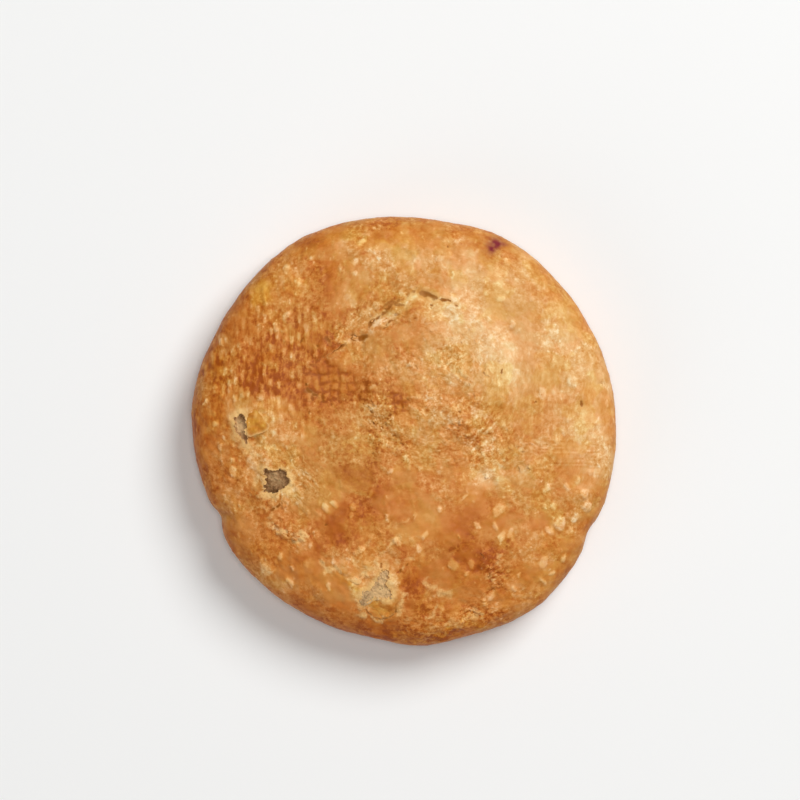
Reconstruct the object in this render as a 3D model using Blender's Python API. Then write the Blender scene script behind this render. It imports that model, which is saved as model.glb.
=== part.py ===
"""Kachori: a flat round pastry, stuffed with spiced lentils, closed by a pinch in the middle and fried.

The crust is one shell of dough, with three places where a blister has burst and the filling shows.
The filling is one solid that runs all through the crust and rises into those three openings.

Frame: metres, +Z up. The origin is on the surface that the pastry lies on, under the middle of its box.
Seen from above with +Y at the top, the pinched fold lies above the middle and the openings at lower left.
"""

import bpy
import numpy as np

MM = 0.001

# Size of the whole: a turned form with a flatter crown than an ellipse, pressed flat where it lies.
RIM_RADIUS = 49.9 * MM
RIM_LEVEL = 9.0 * MM
CROWN_RISE = 12.6 * MM
BELLY_DROP = 9.6 * MM
PROFILE_POWER = 3.0

# Dough and filling.
CRUST_WALL = 2.2 * MM
FILLING_GAP = 0.5 * MM

# The outline's swellings and dents: direction in degrees from +X, half width in degrees, mm outwards.
OUTLINE_LOBES = (
    (60, 16, 1.0),
    (118, 24, 1.5),
    (170, 14, 0.7),
    (196, 10, -0.6),
    (205, 4, -1.5),
    (244, 22, -0.5),
    (275, 9, 1.1),
    (307, 20, 2.0),
    (331, 4, -0.9),
)

# The pinch that closed the dough, pressed down to a low round boss.
PINCH_CENTRE = (7.0 * MM, 14.3 * MM)
PINCH_RADIUS = 17.0 * MM
PINCH_RISE = 1.1 * MM
PINCH_SOFTNESS = 6.0 * MM

# Cracks in the dough: points along each in mm, half width in mm, depth in mm, and height in mm of the
# torn lip, which stands on the left of a walk along the points.
CRACKS = {
    "pinch fold": (
        ((18.0, 26.0), (11.7, 29.6), (7.0, 31.6), (2.3, 32.1), (-2.4, 29.5), (-8.2, 25.5),
         (-11.7, 22.3), (-17.0, 18.8), (-22.7, 13.8)),
        0.9, 1.3, 0.7,
    ),
    "second fold": (((0.0, -5.6), (-1.9, -3.7), (-5.9, 0.7), (-9.4, 7.3)), 0.8, 0.6, 0.4),
    "flaky strip": (((-30.4, -23.0), (-27.0, -24.2), (-23.6, -24.6)), 1.0, 0.4, 0.3),
    "lower split": (((-17.0, -32.6), (-12.5, -34.8), (-10.0, -35.4)), 0.7, 0.5, 0.3),
    "right split": (((22.5, -29.3), (19.6, -33.6), (20.4, -37.0), (21.8, -39.2)), 0.8, 0.6, 0.4),
    "rim crease": (((-45.5, -21.0), (-42.0, -20.0), (-39.5, -20.6)), 1.4, 1.0, 0.3),
}
CRACK_STEPS = 6

# Openings where a blister burst: centre, long and short half axes in mm, and the long one's direction.
OPENINGS = {
    "upper": ((-38.6, 0.9), 3.1, 1.5, 96),
    "middle": ((-30.1, -12.0), 2.8, 2.6, 40),
    "lower": ((-5.9, -37.6), 3.6, 2.1, 38),
}
OPENING_SIDES = 14
OPENING_RAGGEDNESS = 0.16
OPENING_LIP = 0.5 * MM
OPENING_LIP_WIDTH = 2.0 * MM

# A torn flap of crust that stands up beside the upper opening, and a broken piece by the lower one.
FLAPS = {
    "upper flap": ((-34.6, 1.2), 3.4, 2.6, 20, 0.9),
    "lower flap": ((-5.2, -42.0), 3.8, 2.2, 0, 0.6),
}

# Blisters that stand out of the fried surface, and the slow waves of the whole crust.
BLISTER_COUNT = 80
BLISTER_RADIUS = (1.6 * MM, 3.0 * MM)
BLISTER_HEIGHT = (0.20 * MM, 0.50 * MM)
WAVE_LENGTH = 24.0 * MM
WAVE_HEIGHT = 0.35 * MM
WAVE_COUNT = 20
SEED = 11

# How finely each form is made before it is thinned, and the share of its triangles that is kept.
CRUST_SUBDIVISIONS, CRUST_SHARE = 7, 0.105
INNER_SUBDIVISIONS, INNER_SHARE = 6, 0.085
CROWN_DENSITY = 1.8
BASE_TOLERANCE = 0.02 * MM

CRUMB_HEIGHT = 0.35 * MM
CRUMB_LENGTH = 3.0 * MM
MOUND_HEIGHT = 1.6 * MM
MOUND_EDGE = 0.72


def clear_scene():
    for thing in list(bpy.data.objects):
        bpy.data.objects.remove(thing, do_unlink=True)


def collection_of(name):
    made = bpy.data.collections.new(name)
    bpy.context.scene.collection.children.link(made)
    return made


def dough_material(name, colour, roughness):
    made = bpy.data.materials.new(name)
    made.use_nodes = True
    shader = made.node_tree.nodes["Principled BSDF"]
    shader.inputs["Base Color"].default_value = (*colour, 1.0)
    shader.inputs["Roughness"].default_value = roughness
    shader.inputs["Metallic"].default_value = 0.0
    return made


def outline_radius(turn):
    """Radius of the outline, in metres, towards each direction in radians."""
    radius = np.full_like(turn, RIM_RADIUS)
    for direction, width, outwards in OUTLINE_LOBES:
        away = np.degrees(np.angle(np.exp(1j * (turn - np.radians(direction)))))
        radius += outwards * MM * np.exp(-((away / width) ** 2))
    return radius


def profile(inset):
    """The side view from the middle of the crown to the middle of the base: share of the radius, and height.

    Both halves are superellipses about the rim's level. The lower one would reach below the base, and
    what would is pressed flat. An inset form is smaller by that much on every side.
    """
    slope = np.linspace(0.0, np.pi, 721)
    share = np.sin(slope) ** (2 / PROFILE_POWER)
    level = np.abs(np.cos(slope)) ** (2 / PROFILE_POWER)
    crown = slope < np.pi / 2
    rise = np.where(crown, level * (CROWN_RISE - inset), -level * (BELLY_DROP - inset))
    return share, np.maximum(RIM_LEVEL + rise, inset)


def soft_waves(points, length, count, seed):
    """A smooth random height for each point, about -1 to 1: a sum of plane waves in seeded directions."""
    draw = np.random.default_rng(seed)
    total = np.zeros(len(points))
    for _ in range(count):
        way = draw.normal(size=3)
        way *= 2 * np.pi / (length * draw.uniform(0.8, 1.3) * np.linalg.norm(way))
        total += np.cos(points @ way + draw.uniform(0, 2 * np.pi))
    return total * np.sqrt(2 / count) / 2


def smooth_step(value):
    value = np.clip(value, 0.0, 1.0)
    return value * value * (3 - 2 * value)


def smooth_line(corners):
    """A line in metres that passes through every corner and turns gently there (a Catmull-Rom spline)."""
    corners = np.array(corners) * MM
    padded = np.vstack([2 * corners[0] - corners[1], corners, 2 * corners[-1] - corners[-2]])
    share = np.linspace(0, 1, CRACK_STEPS, endpoint=False)[:, None]
    bends = []
    for before, start, end, after in zip(padded, padded[1:], padded[2:], padded[3:]):
        bends.append(
            start
            + share * (end - before) / 2
            + share**2 * (before - 2.5 * start + 2 * end - after / 2)
            + share**3 * (1.5 * (start - end) + (after - before) / 2)
        )
    return np.vstack([*bends, corners[-1:]])


def along_line(across, line):
    """For each point of the plan: signed distance from a line, positive on its left, and share of its length."""
    nearest = np.full(len(across), np.inf)
    share = np.zeros(len(across))
    pieces = len(line) - 1
    for index in range(pieces):
        run = line[index + 1] - line[index]
        offset = across - line[index]
        along = np.clip(offset @ run / (run @ run), 0, 1)
        away = np.linalg.norm(offset - along[:, None] * run, axis=1)
        left = np.sign(run[0] * offset[:, 1] - run[1] * offset[:, 0])
        closer = away < np.abs(nearest)
        nearest = np.where(closer, away * left, nearest)
        share = np.where(closer, (index + along) / pieces, share)
    return nearest, share


def ellipse_share(across, centre, long_half, short_half, direction):
    """How far out of an ellipse each point of the plan lies: 0 at its centre, 1 on its edge."""
    offset = across - np.array(centre) * MM
    angle = np.radians(direction)
    along = offset @ np.array([np.cos(angle), np.sin(angle)])
    aside = offset @ np.array([-np.sin(angle), np.cos(angle)])
    return np.hypot(along / (long_half * MM), aside / (short_half * MM))


def crown_relief(points):
    """Height that folds, cracks, lips and flaps add to the crown, in metres."""
    across = points[:, :2]
    from_pinch = np.linalg.norm(across - np.array(PINCH_CENTRE), axis=1)
    height = PINCH_RISE * smooth_step((PINCH_RADIUS - from_pinch) / PINCH_SOFTNESS + 0.5)
    for corners, half_width, depth, lip in CRACKS.values():
        away, share = along_line(across, smooth_line(corners))
        away /= half_width * MM
        open_share = np.sin(np.pi * np.clip(share, 0.02, 0.98)) ** 0.5
        height += open_share * lip * MM * np.exp(-(((away - 1.8) / 1.3) ** 2))
        height -= open_share * depth * MM * np.exp(-(away**2))
    for centre, long_half, short_half, direction in OPENINGS.values():
        out = ellipse_share(across, centre, long_half, short_half, direction) - 1
        out *= short_half * MM / OPENING_LIP_WIDTH
        height += OPENING_LIP * np.exp(-(np.maximum(out, 0) ** 2))
    for centre, long_half, short_half, direction, rise in FLAPS.values():
        share = ellipse_share(across, centre, long_half, short_half, direction)
        height += rise * MM * smooth_step((1.15 - share) / 0.4)
    return height


def blister_relief(points):
    """Height that the blisters add, on the crown and the sides alike, in metres."""
    draw = np.random.default_rng(SEED)
    lifted = points[points[:, 2] > 0.5 * RIM_LEVEL]
    centres = lifted[draw.choice(len(lifted), BLISTER_COUNT, replace=False)]
    height = np.zeros(len(points))
    for centre in centres:
        radius = draw.uniform(*BLISTER_RADIUS)
        away = np.linalg.norm(points - centre, axis=1) / radius
        height = np.maximum(height, draw.uniform(*BLISTER_HEIGHT) * smooth_step(1.2 - away))
    return height


def evenly_shaped(sphere, inset):
    """Lays a unit sphere's points on the pastry's form, so that equal areas keep equal shares of them.

    The crown gets CROWN_DENSITY times as many points for its area as the rest, because its relief is finest.
    """
    share, level = profile(inset)
    step = np.hypot(np.diff(share) * RIM_RADIUS, np.diff(level))
    area = step * (share[:-1] + share[1:]) / 2
    area[: len(area) // 2] *= CROWN_DENSITY
    height_on_sphere = 1 - 2 * np.concatenate([[0], np.cumsum(area)]) / area.sum()
    at = np.interp(-sphere[:, 2], -height_on_sphere, np.arange(len(share)))
    out = np.interp(at, np.arange(len(share)), share)
    up = np.interp(at, np.arange(len(share)), level)
    turn = np.arctan2(sphere[:, 1], sphere[:, 0])
    radius = out * (outline_radius(turn) - inset)
    return np.column_stack([radius * np.cos(turn), radius * np.sin(turn), up])


def sphere_object(name, subdivisions, where):
    bpy.ops.mesh.primitive_ico_sphere_add(subdivisions=subdivisions, radius=1.0)
    made = bpy.context.object
    made.name = name
    for owner in list(made.users_collection):
        owner.objects.unlink(made)
    where.objects.link(made)
    return made


def points_of(thing):
    found = np.empty(len(thing.data.vertices) * 3)
    thing.data.vertices.foreach_get("co", found)
    return found.reshape(-1, 3)


def set_points(thing, points):
    thing.data.vertices.foreach_set("co", points.ravel())
    thing.data.update()


def thin_out(thing, share):
    """Keeps that share of the triangles, most of them where the form bends most, and a flat base."""
    thinning = thing.modifiers.new("thinning", "DECIMATE")
    thinning.ratio = share
    bpy.context.view_layer.objects.active = thing
    bpy.ops.object.modifier_apply(modifier=thinning.name)
    points = points_of(thing)
    base = points[:, 2].min()
    points[points[:, 2] < base + BASE_TOLERANCE, 2] = round(base, 6)
    set_points(thing, points)


def outward_push(points, height):
    """Moves points out of the form by a height: straight up on the crown, outwards round the rim."""
    spread = np.linalg.norm(points[:, :2], axis=1) / RIM_RADIUS
    lean = smooth_step((spread - 0.75) / 0.25)
    away = points[:, :2] / np.maximum(np.linalg.norm(points[:, :2], axis=1), MM)[:, None]
    way = np.column_stack([away * lean[:, None], np.maximum(1 - lean, 0.15)])
    way /= np.linalg.norm(way, axis=1)[:, None]
    return points + way * height[:, None]


def outer_form(where):
    """The whole pastry from outside, with its relief, still solid."""
    made = sphere_object("crust", CRUST_SUBDIVISIONS, where)
    points = evenly_shaped(points_of(made), 0.0)
    lying = smooth_step(points[:, 2] / (0.6 * RIM_LEVEL))
    on_crown = smooth_step((points[:, 2] - RIM_LEVEL) / (0.4 * CROWN_RISE))
    height = WAVE_HEIGHT * soft_waves(points, WAVE_LENGTH, WAVE_COUNT, SEED)
    height += blister_relief(points)
    height = height * lying + crown_relief(points) * on_crown
    set_points(made, outward_push(points, height))
    thin_out(made, CRUST_SHARE)
    return made


def inner_form(name, inset, where):
    """The plain form at a depth below the crust's surface, for the hollow and for the filling."""
    made = sphere_object(name, INNER_SUBDIVISIONS, where)
    set_points(made, evenly_shaped(points_of(made), inset))
    return made


def opening_cutter(name, centre, long_half, short_half, direction, where):
    """A ragged upright prism that lets the filling show through the crown."""
    depth = CROWN_RISE
    bpy.ops.mesh.primitive_cylinder_add(vertices=OPENING_SIDES, radius=1.0, depth=1.0)
    made = bpy.context.object
    made.name = f"{name} opening cutter"
    for owner in list(made.users_collection):
        owner.objects.unlink(made)
    where.objects.link(made)
    points = points_of(made)
    turn = np.arctan2(points[:, 1], points[:, 0])
    ragged = 1 + OPENING_RAGGEDNESS * np.cos(turn * 5 + direction) * np.cos(turn * 3)
    angle = np.radians(direction)
    along = points[:, 0] * ragged * long_half * MM
    aside = points[:, 1] * ragged * short_half * MM
    set_points(
        made,
        np.column_stack(
            [
                centre[0] * MM + along * np.cos(angle) - aside * np.sin(angle),
                centre[1] * MM + along * np.sin(angle) + aside * np.cos(angle),
                RIM_LEVEL + depth * (points[:, 2] + 0.8),
            ]
        ),
    )
    return made


def as_cutter(thing):
    thing.hide_render = True
    thing.display_type = "WIRE"


def make_crust(pieces, cutters):
    crust = outer_form(pieces)
    hollow = inner_form("hollow", CRUST_WALL, cutters)
    thin_out(hollow, INNER_SHARE)
    as_cutter(hollow)
    for name, opening in OPENINGS.items():
        as_cutter(opening_cutter(name, *opening, cutters))
    cut = crust.modifiers.new("hollow and openings", "BOOLEAN")
    cut.operand_type = "COLLECTION"
    cut.collection = cutters
    cut.operation = "DIFFERENCE"
    return crust


def make_filling(pieces):
    """The crumbly filling, which swells up into each opening."""
    inset = CRUST_WALL + FILLING_GAP
    filling = inner_form("filling", inset, pieces)
    points = points_of(filling)
    on_crown = smooth_step((points[:, 2] - RIM_LEVEL) / (0.4 * CROWN_RISE))
    crumbs = soft_waves(points, CRUMB_LENGTH, WAVE_COUNT, SEED + 1)
    swell = np.zeros(len(points))
    for centre, long_half, short_half, direction in OPENINGS.values():
        share = ellipse_share(points[:, :2], centre, long_half, short_half, direction)
        swell = np.maximum(swell, smooth_step((MOUND_EDGE - share) / MOUND_EDGE))
    points[:, 2] += on_crown * swell * (MOUND_HEIGHT + CRUMB_HEIGHT * crumbs)
    points -= (1 - swell)[:, None] * CRUMB_HEIGHT * 0.5 * (1 + crumbs)[:, None] * unit(points)
    set_points(filling, points)
    thin_out(filling, INNER_SHARE)
    return filling


def unit(points):
    """Direction of each point from the middle of the pastry."""
    away = points - np.array([0, 0, RIM_LEVEL])
    return away / np.maximum(np.linalg.norm(away, axis=1), MM)[:, None]


def centre_on_origin(things):
    """Moves every piece alike, so that the middle of the crust's box is over the origin."""
    points = points_of(things[0])
    middle = (points.min(axis=0) + points.max(axis=0)) / 2
    for thing in things:
        moved = points_of(thing)
        moved[:, :2] -= middle[:2]
        set_points(thing, moved)


def main():
    clear_scene()
    pieces = collection_of("kachori")
    cutters = collection_of("kachori cutters")
    crust = make_crust(pieces, cutters)
    filling = make_filling(pieces)
    centre_on_origin([crust, filling, *cutters.objects])
    crust.data.materials.append(dough_material("fried dough", (0.56, 0.26, 0.075), 0.55))
    filling.data.materials.append(dough_material("spiced lentils", (0.21, 0.16, 0.10), 0.85))


main()
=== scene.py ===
# %% [markdown]
# # A kachori, fried and blistered
# A kachori is a flat round of dough closed round a spiced lentil filling and fried in deep oil.
# The dough blisters, browns unevenly and flakes, and here three blisters have burst and show the filling.
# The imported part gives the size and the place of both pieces, and this lesson gives them their skin.

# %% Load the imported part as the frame
import math
from types import SimpleNamespace

import bpy
import numpy as np
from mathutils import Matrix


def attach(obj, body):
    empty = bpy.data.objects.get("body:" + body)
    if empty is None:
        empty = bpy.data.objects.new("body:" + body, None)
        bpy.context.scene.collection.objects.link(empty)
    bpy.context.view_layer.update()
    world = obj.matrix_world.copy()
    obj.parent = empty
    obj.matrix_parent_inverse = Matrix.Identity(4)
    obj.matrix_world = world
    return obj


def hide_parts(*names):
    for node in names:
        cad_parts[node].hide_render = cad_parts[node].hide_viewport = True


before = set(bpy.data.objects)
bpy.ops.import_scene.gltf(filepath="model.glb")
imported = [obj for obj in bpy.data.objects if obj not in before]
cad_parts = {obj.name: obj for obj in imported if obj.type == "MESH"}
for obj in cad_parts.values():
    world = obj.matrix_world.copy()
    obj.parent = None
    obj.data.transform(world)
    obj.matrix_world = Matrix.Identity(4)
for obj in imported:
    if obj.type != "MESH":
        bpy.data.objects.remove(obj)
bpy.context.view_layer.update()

# %% [markdown]
# ## Measures
# All lengths below are millimetres, and a mesh is turned into metres when it is made.
# The plan is the view from above: X to the right, Y up, and the origin near the middle of the pastry.
# The form is turned: a superellipse for the crown, a shallower one below, and a flat where it lies.

# %% The main form
MM = 0.001
RIM_RADIUS = 49.55
RIM_LEVEL = 9.0
CROWN_RISE = 12.15
BELLY_DROP = 9.6
PROFILE_POWER = 3.0
PROFILE_SAMPLES = 1441
CRUST_WALL = 2.2
FILLING_GAP = 0.5

# Swellings and dents of the outline: direction in degrees, half width in degrees, mm outwards.
OUTLINE_LOBES = (
    (60, 16, 1.0),
    (118, 24, 1.5),
    (170, 14, 0.7),
    (196, 10, -0.6),
    (205, 4, -1.5),
    (244, 22, -0.5),
    (275, 9, 1.1),
    (307, 20, 2.0),
    (331, 4, -0.9),
)


def smooth_step(value):
    """0 below 0, 1 above 1, and the cubic 3v^2 - 2v^3 between them."""
    value = np.clip(value, 0.0, 1.0)
    return value * value * (3 - 2 * value)


def outline_radius(turn):
    """Radius of the outline towards each direction in radians: a circle plus a bell for each lobe."""
    radius = np.full_like(turn, RIM_RADIUS)
    for direction, width, outwards in OUTLINE_LOBES:
        away = np.degrees(np.angle(np.exp(1j * (turn - np.radians(direction)))))
        radius += outwards * np.exp(-((away / width) ** 2))
    return radius


def rim_share(across):
    """How far out each plan place is: 0 in the middle, 1 on the outline."""
    return np.linalg.norm(across, axis=1) / outline_radius(np.arctan2(across[:, 1], across[:, 0]))


def profile(inset):
    """Share of the radius and height, from the middle of the crown (slope 0) to that of the base (slope pi).

    share = sin(slope)^(2/p) and height = rim level +- rise * |cos(slope)|^(2/p), then pressed flat below.
    """
    slope = np.linspace(0.0, np.pi, PROFILE_SAMPLES)
    share = np.sin(slope) ** (2 / PROFILE_POWER)
    level = np.abs(np.cos(slope)) ** (2 / PROFILE_POWER)
    rise = np.where(slope < np.pi / 2, level * (CROWN_RISE - inset), -level * (BELLY_DROP - inset))
    return share, np.maximum(RIM_LEVEL + rise, inset)


around = np.linspace(0, 2 * np.pi, 3600, endpoint=False)
rim = outline_radius(around)[:, None] * np.column_stack([np.cos(around), np.sin(around)])
PLAN_MIDDLE = (rim.min(axis=0) + rim.max(axis=0)) / 2
print("outline, mm:", np.round(rim.max(axis=0) - rim.min(axis=0), 1), "middle of the plan:", np.round(PLAN_MIDDLE, 2))

# %% [markdown]
# ## A skin of even triangles
# A polar grid crowds its points at the middle. Rings whose number of points follows their length don't.
# Each ring is joined to the next like a zip: walking round both, the ring that lags gives the next triangle.
# The rings lie close on the crown, which carries the fine relief, and further apart underneath.


# %% Rings and the zip between them
# Spacing of the points in mm, on the crown and underneath.
CRUST_SPACING = (0.369, 1.35)
HOLLOW_SPACING = (2.4, 3.0)
CORE_SPACING = (1.2, 2.0)
# Height of an even triangle, as a share of its side.
TRIANGLE_HEIGHT = 0.866


def zip_rings(first_a, count_a, first_b, count_b):
    """Triangles between two rings. Step i of ring a comes before step j of ring b where (i+.5)/na <= (j+.5)/nb."""
    i, j = np.arange(count_a), np.arange(count_b)
    facing_b = -((count_a - (2 * i + 1) * count_b) // (2 * count_a)) % count_b
    facing_a = (((2 * j + 1) * count_a - count_b) // (2 * count_b) + 1) % count_a
    from_a = np.column_stack([first_a + (i + 1) % count_a, first_a + i, first_b + facing_b])
    from_b = np.column_stack([first_b + j, first_b + (j + 1) % count_b, first_a + facing_a])
    if count_a == 1:
        return from_b
    if count_b == 1:
        return from_a
    return np.vstack([from_a, from_b])


def stack_of_rings(counts):
    """Triangles of a closed skin whose rings follow each other in the list of points, with one point at each end."""
    first = np.concatenate([[0], np.cumsum(counts)])
    steps = [zip_rings(first[k], counts[k], first[k + 1], counts[k + 1]) for k in range(len(counts) - 1)]
    return np.vstack(steps)


def ring_stations(fine, coarse, inset):
    """Share, level and spacing of each ring: rings are as far apart along the profile as even triangles are high."""
    share, level = profile(inset)
    step = np.hypot(np.diff(share) * (RIM_RADIUS - inset), np.diff(level))
    crown_share = smooth_step((level - 2.0) / (RIM_LEVEL - 2.0))
    spacing = coarse + (fine - coarse) * np.where(np.arange(len(level)) < len(level) // 2, 1.0, crown_share)
    count = np.concatenate([[0], np.cumsum(step / (TRIANGLE_HEIGHT * (spacing[:-1] + spacing[1:]) / 2))])
    at = np.interp(np.linspace(0, count[-1], int(round(count[-1])) + 1), count, np.arange(len(count)))
    places = np.arange(len(share))
    return np.interp(at, places, share), np.interp(at, places, level), np.interp(at, places, spacing)


def ring_places(counts):
    """Which ring each point lies on, and its turn in radians: the points of a ring stand evenly round it."""
    ring = np.repeat(np.arange(len(counts)), counts)
    first = np.concatenate([[0], np.cumsum(counts)])
    return ring, 2 * np.pi * (np.arange(first[-1]) - first[ring]) / counts[ring]


def turned_skin(fine, coarse, inset=0.0):
    """Points in plan millimetres of the closed turned form, and its triangles."""
    share, level, spacing = ring_stations(fine, coarse, inset)
    counts = np.maximum(np.round(2 * np.pi * share * RIM_RADIUS / spacing).astype(int), 6)
    counts[0] = counts[-1] = 1
    ring, turn = ring_places(counts)
    radius = share[ring] * (outline_radius(turn) - inset)
    points = np.column_stack([radius * np.cos(turn), radius * np.sin(turn), level[ring]])
    return points, stack_of_rings(counts)


def crown_point(across):
    """The plain crown's point over each plan place: its rise falls as (1 - share^p)^(1/p) towards the rim."""
    share = np.minimum(rim_share(across), 0.999)
    rise = CROWN_RISE * (1 - share**PROFILE_POWER) ** (1 / PROFILE_POWER)
    return np.column_stack([across, RIM_LEVEL + rise])


def plain_normals(points):
    """Outward direction of the plain form at its points, from how steeply the superellipse changes there."""
    radius = np.linalg.norm(points[:, :2], axis=1)
    share = np.minimum(rim_share(points[:, :2]), 1.0)
    rise = points[:, 2] - RIM_LEVEL
    half = np.where(rise > 0, CROWN_RISE, BELLY_DROP)
    out = share ** (PROFILE_POWER - 1) / RIM_RADIUS
    up = np.sign(rise) * np.minimum(np.abs(rise) / half, 1.0) ** (PROFILE_POWER - 1) / half
    away = points[:, :2] / np.maximum(radius, 1e-6)[:, None]
    way = np.column_stack([away * out[:, None], up])
    return way / np.linalg.norm(way, axis=1)[:, None]


crust_plain, crust_triangles = turned_skin(*CRUST_SPACING)
# Every fortieth point is enough to measure what a helper does.
some_points = crust_plain[::40]
print("crust skin:", len(crust_plain), "points,", len(crust_triangles), "triangles")

# %% [markdown]
# ## Noise worked out in numpy
# Fried dough is rough at every scale, so its unevenness is a sum of noises, each half the size of the last.
# A noise here is a random number for each corner of a lattice, blended smoothly between the corners.
# Blisters are domes on scattered centres: each point looks at the centres of the 27 cells round it.


# %% Lattice noise and scattered domes
def scrambled(cells, seed):
    """A number from 0 to 1 for each whole-numbered cell: its coordinates times large primes, then mixed."""
    whole = cells.astype(np.int64).astype(np.uint64)
    mixed = whole[..., 0] * np.uint64(73856093) ^ whole[..., 1] * np.uint64(19349663)
    mixed = mixed ^ whole[..., 2] * np.uint64(83492791) ^ np.uint64(seed * 2654435761 % 2**31)
    for _ in range(2):
        mixed = (mixed ^ (mixed >> np.uint64(15))) * np.uint64(2246822519)
        mixed = mixed & np.uint64(0xFFFFFFFF)
    return (mixed ^ (mixed >> np.uint64(13))).astype(float) % 65536 / 65536


def noise(points, size, seed):
    """Smooth noise of about unit spread: cell corners' numbers, blended by the quintic 6t^5 - 15t^4 + 10t^3."""
    place = np.asarray(points) / size
    cell = np.floor(place)
    part = place - cell
    part = part * part * part * (part * (part * 6 - 15) + 10)
    total = np.zeros(len(place))
    for corner in np.ndindex(2, 2, 2):
        weight = np.prod(np.where(np.array(corner) == 1, part, 1 - part), axis=1)
        total += weight * (scrambled(cell + np.array(corner), seed) - 0.5)
    return total * 6.0


def fractal(points, size, seed, octaves=4, fade=0.6):
    """Noises added up, each half the size and `fade` times the strength of the one before."""
    total = np.zeros(len(points))
    for octave in range(octaves):
        total += fade**octave * noise(points, size / 2**octave, seed + octave)
    return total / math.sqrt(sum(fade ** (2 * k) for k in range(octaves)))


def stretched(points, across_size, along_size, direction, seed):
    """Noise drawn out along one direction of the plan, in degrees."""
    angle = math.radians(direction)
    along = points[:, 0] * math.cos(angle) + points[:, 1] * math.sin(angle)
    aside = points[:, 1] * math.cos(angle) - points[:, 0] * math.sin(angle)
    return noise(np.column_stack([along / along_size, aside / across_size, points[:, 2] / along_size]), 1.0, seed)


def domes(points, cell_size, chance, seed, small=0.25, large=0.5):
    """Scattered round domes, 1 - (distance / radius)^2 over the nearest centre and 0 outside, and a number for each."""
    place = np.asarray(points) / cell_size
    cell = np.floor(place)
    height = np.zeros(len(place))
    label = np.zeros(len(place))
    for shift in np.ndindex(3, 3, 3):
        there = cell + np.array(shift) - 1
        centre = there + np.column_stack([scrambled(there, seed + k) for k in (1, 2, 3)])
        radius = small + (large - small) * scrambled(there, seed + 4) ** 2
        away = np.linalg.norm(place - centre, axis=1) / radius
        dome = np.where(scrambled(there, seed + 5) < chance, 1 - away**2, 0.0)
        label = np.where(dome > height, scrambled(there, seed + 6), label)
        height = np.maximum(height, dome)
    return height, label


def soft_waves(points, length, count, seed):
    """A slow smooth unevenness, about -1 to 1: a sum of plane waves in seeded directions."""
    draw = np.random.default_rng(seed)
    total = np.zeros(len(points))
    for _ in range(count):
        way = draw.normal(size=3)
        way *= 2 * np.pi / (length * draw.uniform(0.8, 1.3) * np.linalg.norm(way))
        total += np.cos(points @ way + draw.uniform(0, 2 * np.pi))
    return total * np.sqrt(2 / count) / 2


print("spread of the noise on the crust:", round(fractal(crust_plain, 2.0, 5).std(), 2))

# %% [markdown]
# ## Folds, cracks and openings
# The dough was gathered and pinched shut above the middle, and the pinch was pressed down to a low boss.
# Its edge has torn into a crescent of layers. Each crack is a line through a few places, smoothed into a curve.
# A crack is a groove, deepest half way along, with a torn lip standing on the left of a walk along it.

# %% Where the cracks and openings are
PINCH_CENTRE = (7.0, 14.3)
PINCH_RADIUS = 17.0
PINCH_RISE = 1.1
PINCH_SOFTNESS = 6.0

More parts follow.
